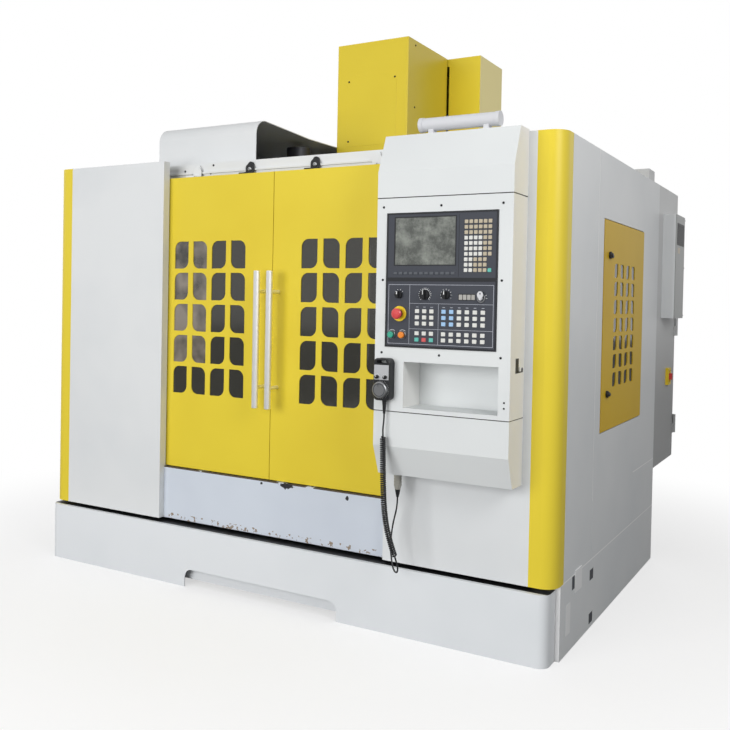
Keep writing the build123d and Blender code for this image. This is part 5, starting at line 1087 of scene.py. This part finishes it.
# As bright as the folds' painted highlights, so the clip stands out from the skirt.
clip_coat = powder_coat("bright white powder coat", HIGHLIGHT_WHITE, WHITE, 0.4)
drawn = bmesh.new()
plate(drawn, side_face, box_outline(287, -244, 90, 86, 3), 0.0, 3.0, 1)
plate(drawn, side_face, box_outline(166, -127, 52, 114, 2), 0.0, 1.0, 0.4)
piece("skirt_clip", drawn, clip_coat, "white_paint")
drawn = bmesh.new()
plate(drawn, side_face, box_outline(226, -246, 32, 50, 2), -0.1, 0.3)
left_face = face_at((-1280, 0, 0), (0, -1, 0), (0, 0, -1))
for v in SLOT_HEIGHTS:
    plate(drawn, side_face, box_outline(481, v, 57, 43, 2), -2.4, -1.6)
    plate(drawn, left_face, box_outline(-481, v, 57, 43, 2), -2.4, -1.6)
piece("skirt_slot_shade", drawn, dark_ink_and_shade, "black_plastic")

# %% [markdown]
# ## Floor and light
#
# A pale studio floor turns into pure white further out, so that no horizon
# shows. For light that bounces it is the mid grey of a workshop floor, which
# keeps low parts darker. Of five soft lamps a large one stands in front and to
# the left, two small ones at the upper right, and one each behind and at the
# left for the views from there. An even surround fills the shadows.

# %% Floor
BOUNCE_GREY = "#8C8C8C"
GLOW_STARTS, GLOW_ENDS, LEAST_GLOW = 1.6, 3.2, 0.6
# Matt and pale near the machine, so that a soft shadow holds it to the ground.
floor_material, floor_shader = new_material("studio floor", "#FFFFFF", 0.9)
floor_nodes = floor_material.node_tree.nodes
ray = add_node(floor_material, "ShaderNodeLightPath")
tone = add_node(floor_material, "ShaderNodeMix", {"data_type": "RGBA"},
                {0: ray.outputs["Is Camera Ray"]})
tone.inputs[6].default_value = linear(BOUNCE_GREY)
tone.inputs[7].default_value = linear("#FFFFFF")
link(floor_material, tone.outputs[2], floor_shader.inputs["Base Color"])
away = add_node(floor_material, "ShaderNodeVectorMath", {"operation": "LENGTH"},
                {0: object_place(floor_material)})
far = add_node(floor_material, "ShaderNodeMapRange",
               {"interpolation_type": "SMOOTHSTEP", "From Min": GLOW_STARTS,
                "From Max": GLOW_ENDS, "To Min": LEAST_GLOW},
               {"Value": away.outputs["Value"]})
glow = add_node(floor_material, "ShaderNodeEmission", {"Color": (1, 1, 1, 1), "Strength": 1.0})
share = both(floor_material, far.outputs["Result"], ray.outputs["Is Camera Ray"])
blend = add_node(floor_material, "ShaderNodeMixShader",
                 links={0: share, 1: floor_shader.outputs[0], 2: glow.outputs[0]})
link(floor_material, blend.outputs[0], floor_nodes["Material Output"].inputs["Surface"])
bpy.ops.mesh.primitive_plane_add(size=60, location=(0, 0, 0))
floor = bpy.context.object
floor.name = "studio_floor"
floor.data.materials.append(floor_material)

# %% Surround and lamps
SURROUND = 0.3
world = bpy.data.worlds.new("studio")
bpy.context.scene.world = world
world.use_nodes = True
background = world.node_tree.nodes["Background"]
background.inputs["Color"].default_value = (1, 1, 1, 1)
ray = add_node(world, "ShaderNodeLightPath")
first = add_node(world, "ShaderNodeMath", {"operation": "MAXIMUM"},
                 {0: ray.outputs["Is Camera Ray"], 1: ray.outputs["Is Transmission Ray"]})
seen = add_node(world, "ShaderNodeMath", {"operation": "MAXIMUM"},
                {0: first.outputs[0], 1: ray.outputs["Is Glossy Ray"]})
strength = add_node(world, "ShaderNodeMapRange", {"To Min": SURROUND, "To Max": 1.0},
                    {"Value": seen.outputs[0]})
link(world, strength.outputs["Result"], background.inputs["Strength"])


def softbox(name, location, target, size, power):
    data = bpy.data.lights.new(name, "AREA")
    data.shape = "RECTANGLE"
    data.size, data.size_y = size
    data.energy = power
    lamp = bpy.data.objects.new(name, data)
    lamp.location = location
    aim = Vector(target) - Vector(location)
    lamp.rotation_euler = aim.to_track_quat("-Z", "Y").to_euler()
    bpy.context.scene.collection.objects.link(lamp)
    return lamp


front_light = softbox("front_light", (-1.2, -7.6, 1.9), (0, -1, 1.1), (5, 4), 350)
softbox("right_light", (3.6, -2.7, 2.9), (1.2, -0.6, 1.6), (1.5, 1.5), 52)
softbox("top_light", (3.6, 0.2, 4.2), (0.4, 0.1, 2.3), (1.5, 1.5), 12)
back_light = softbox("back_light", (-0.8, 7.4, 2.4), (0, 1.4, 1.0), (4, 3), 150)
left_light = softbox("left_light", (-6.4, 1.6, 2.4), (-1.2, 0.2, 1.1), (4, 3), 110)
# The large lamps would show as milky patches in the windows and the panel.
for lamp in (front_light, back_light, left_light):
    lamp.visible_glossy = False

bpy.context.scene.view_settings.view_transform = "Standard"
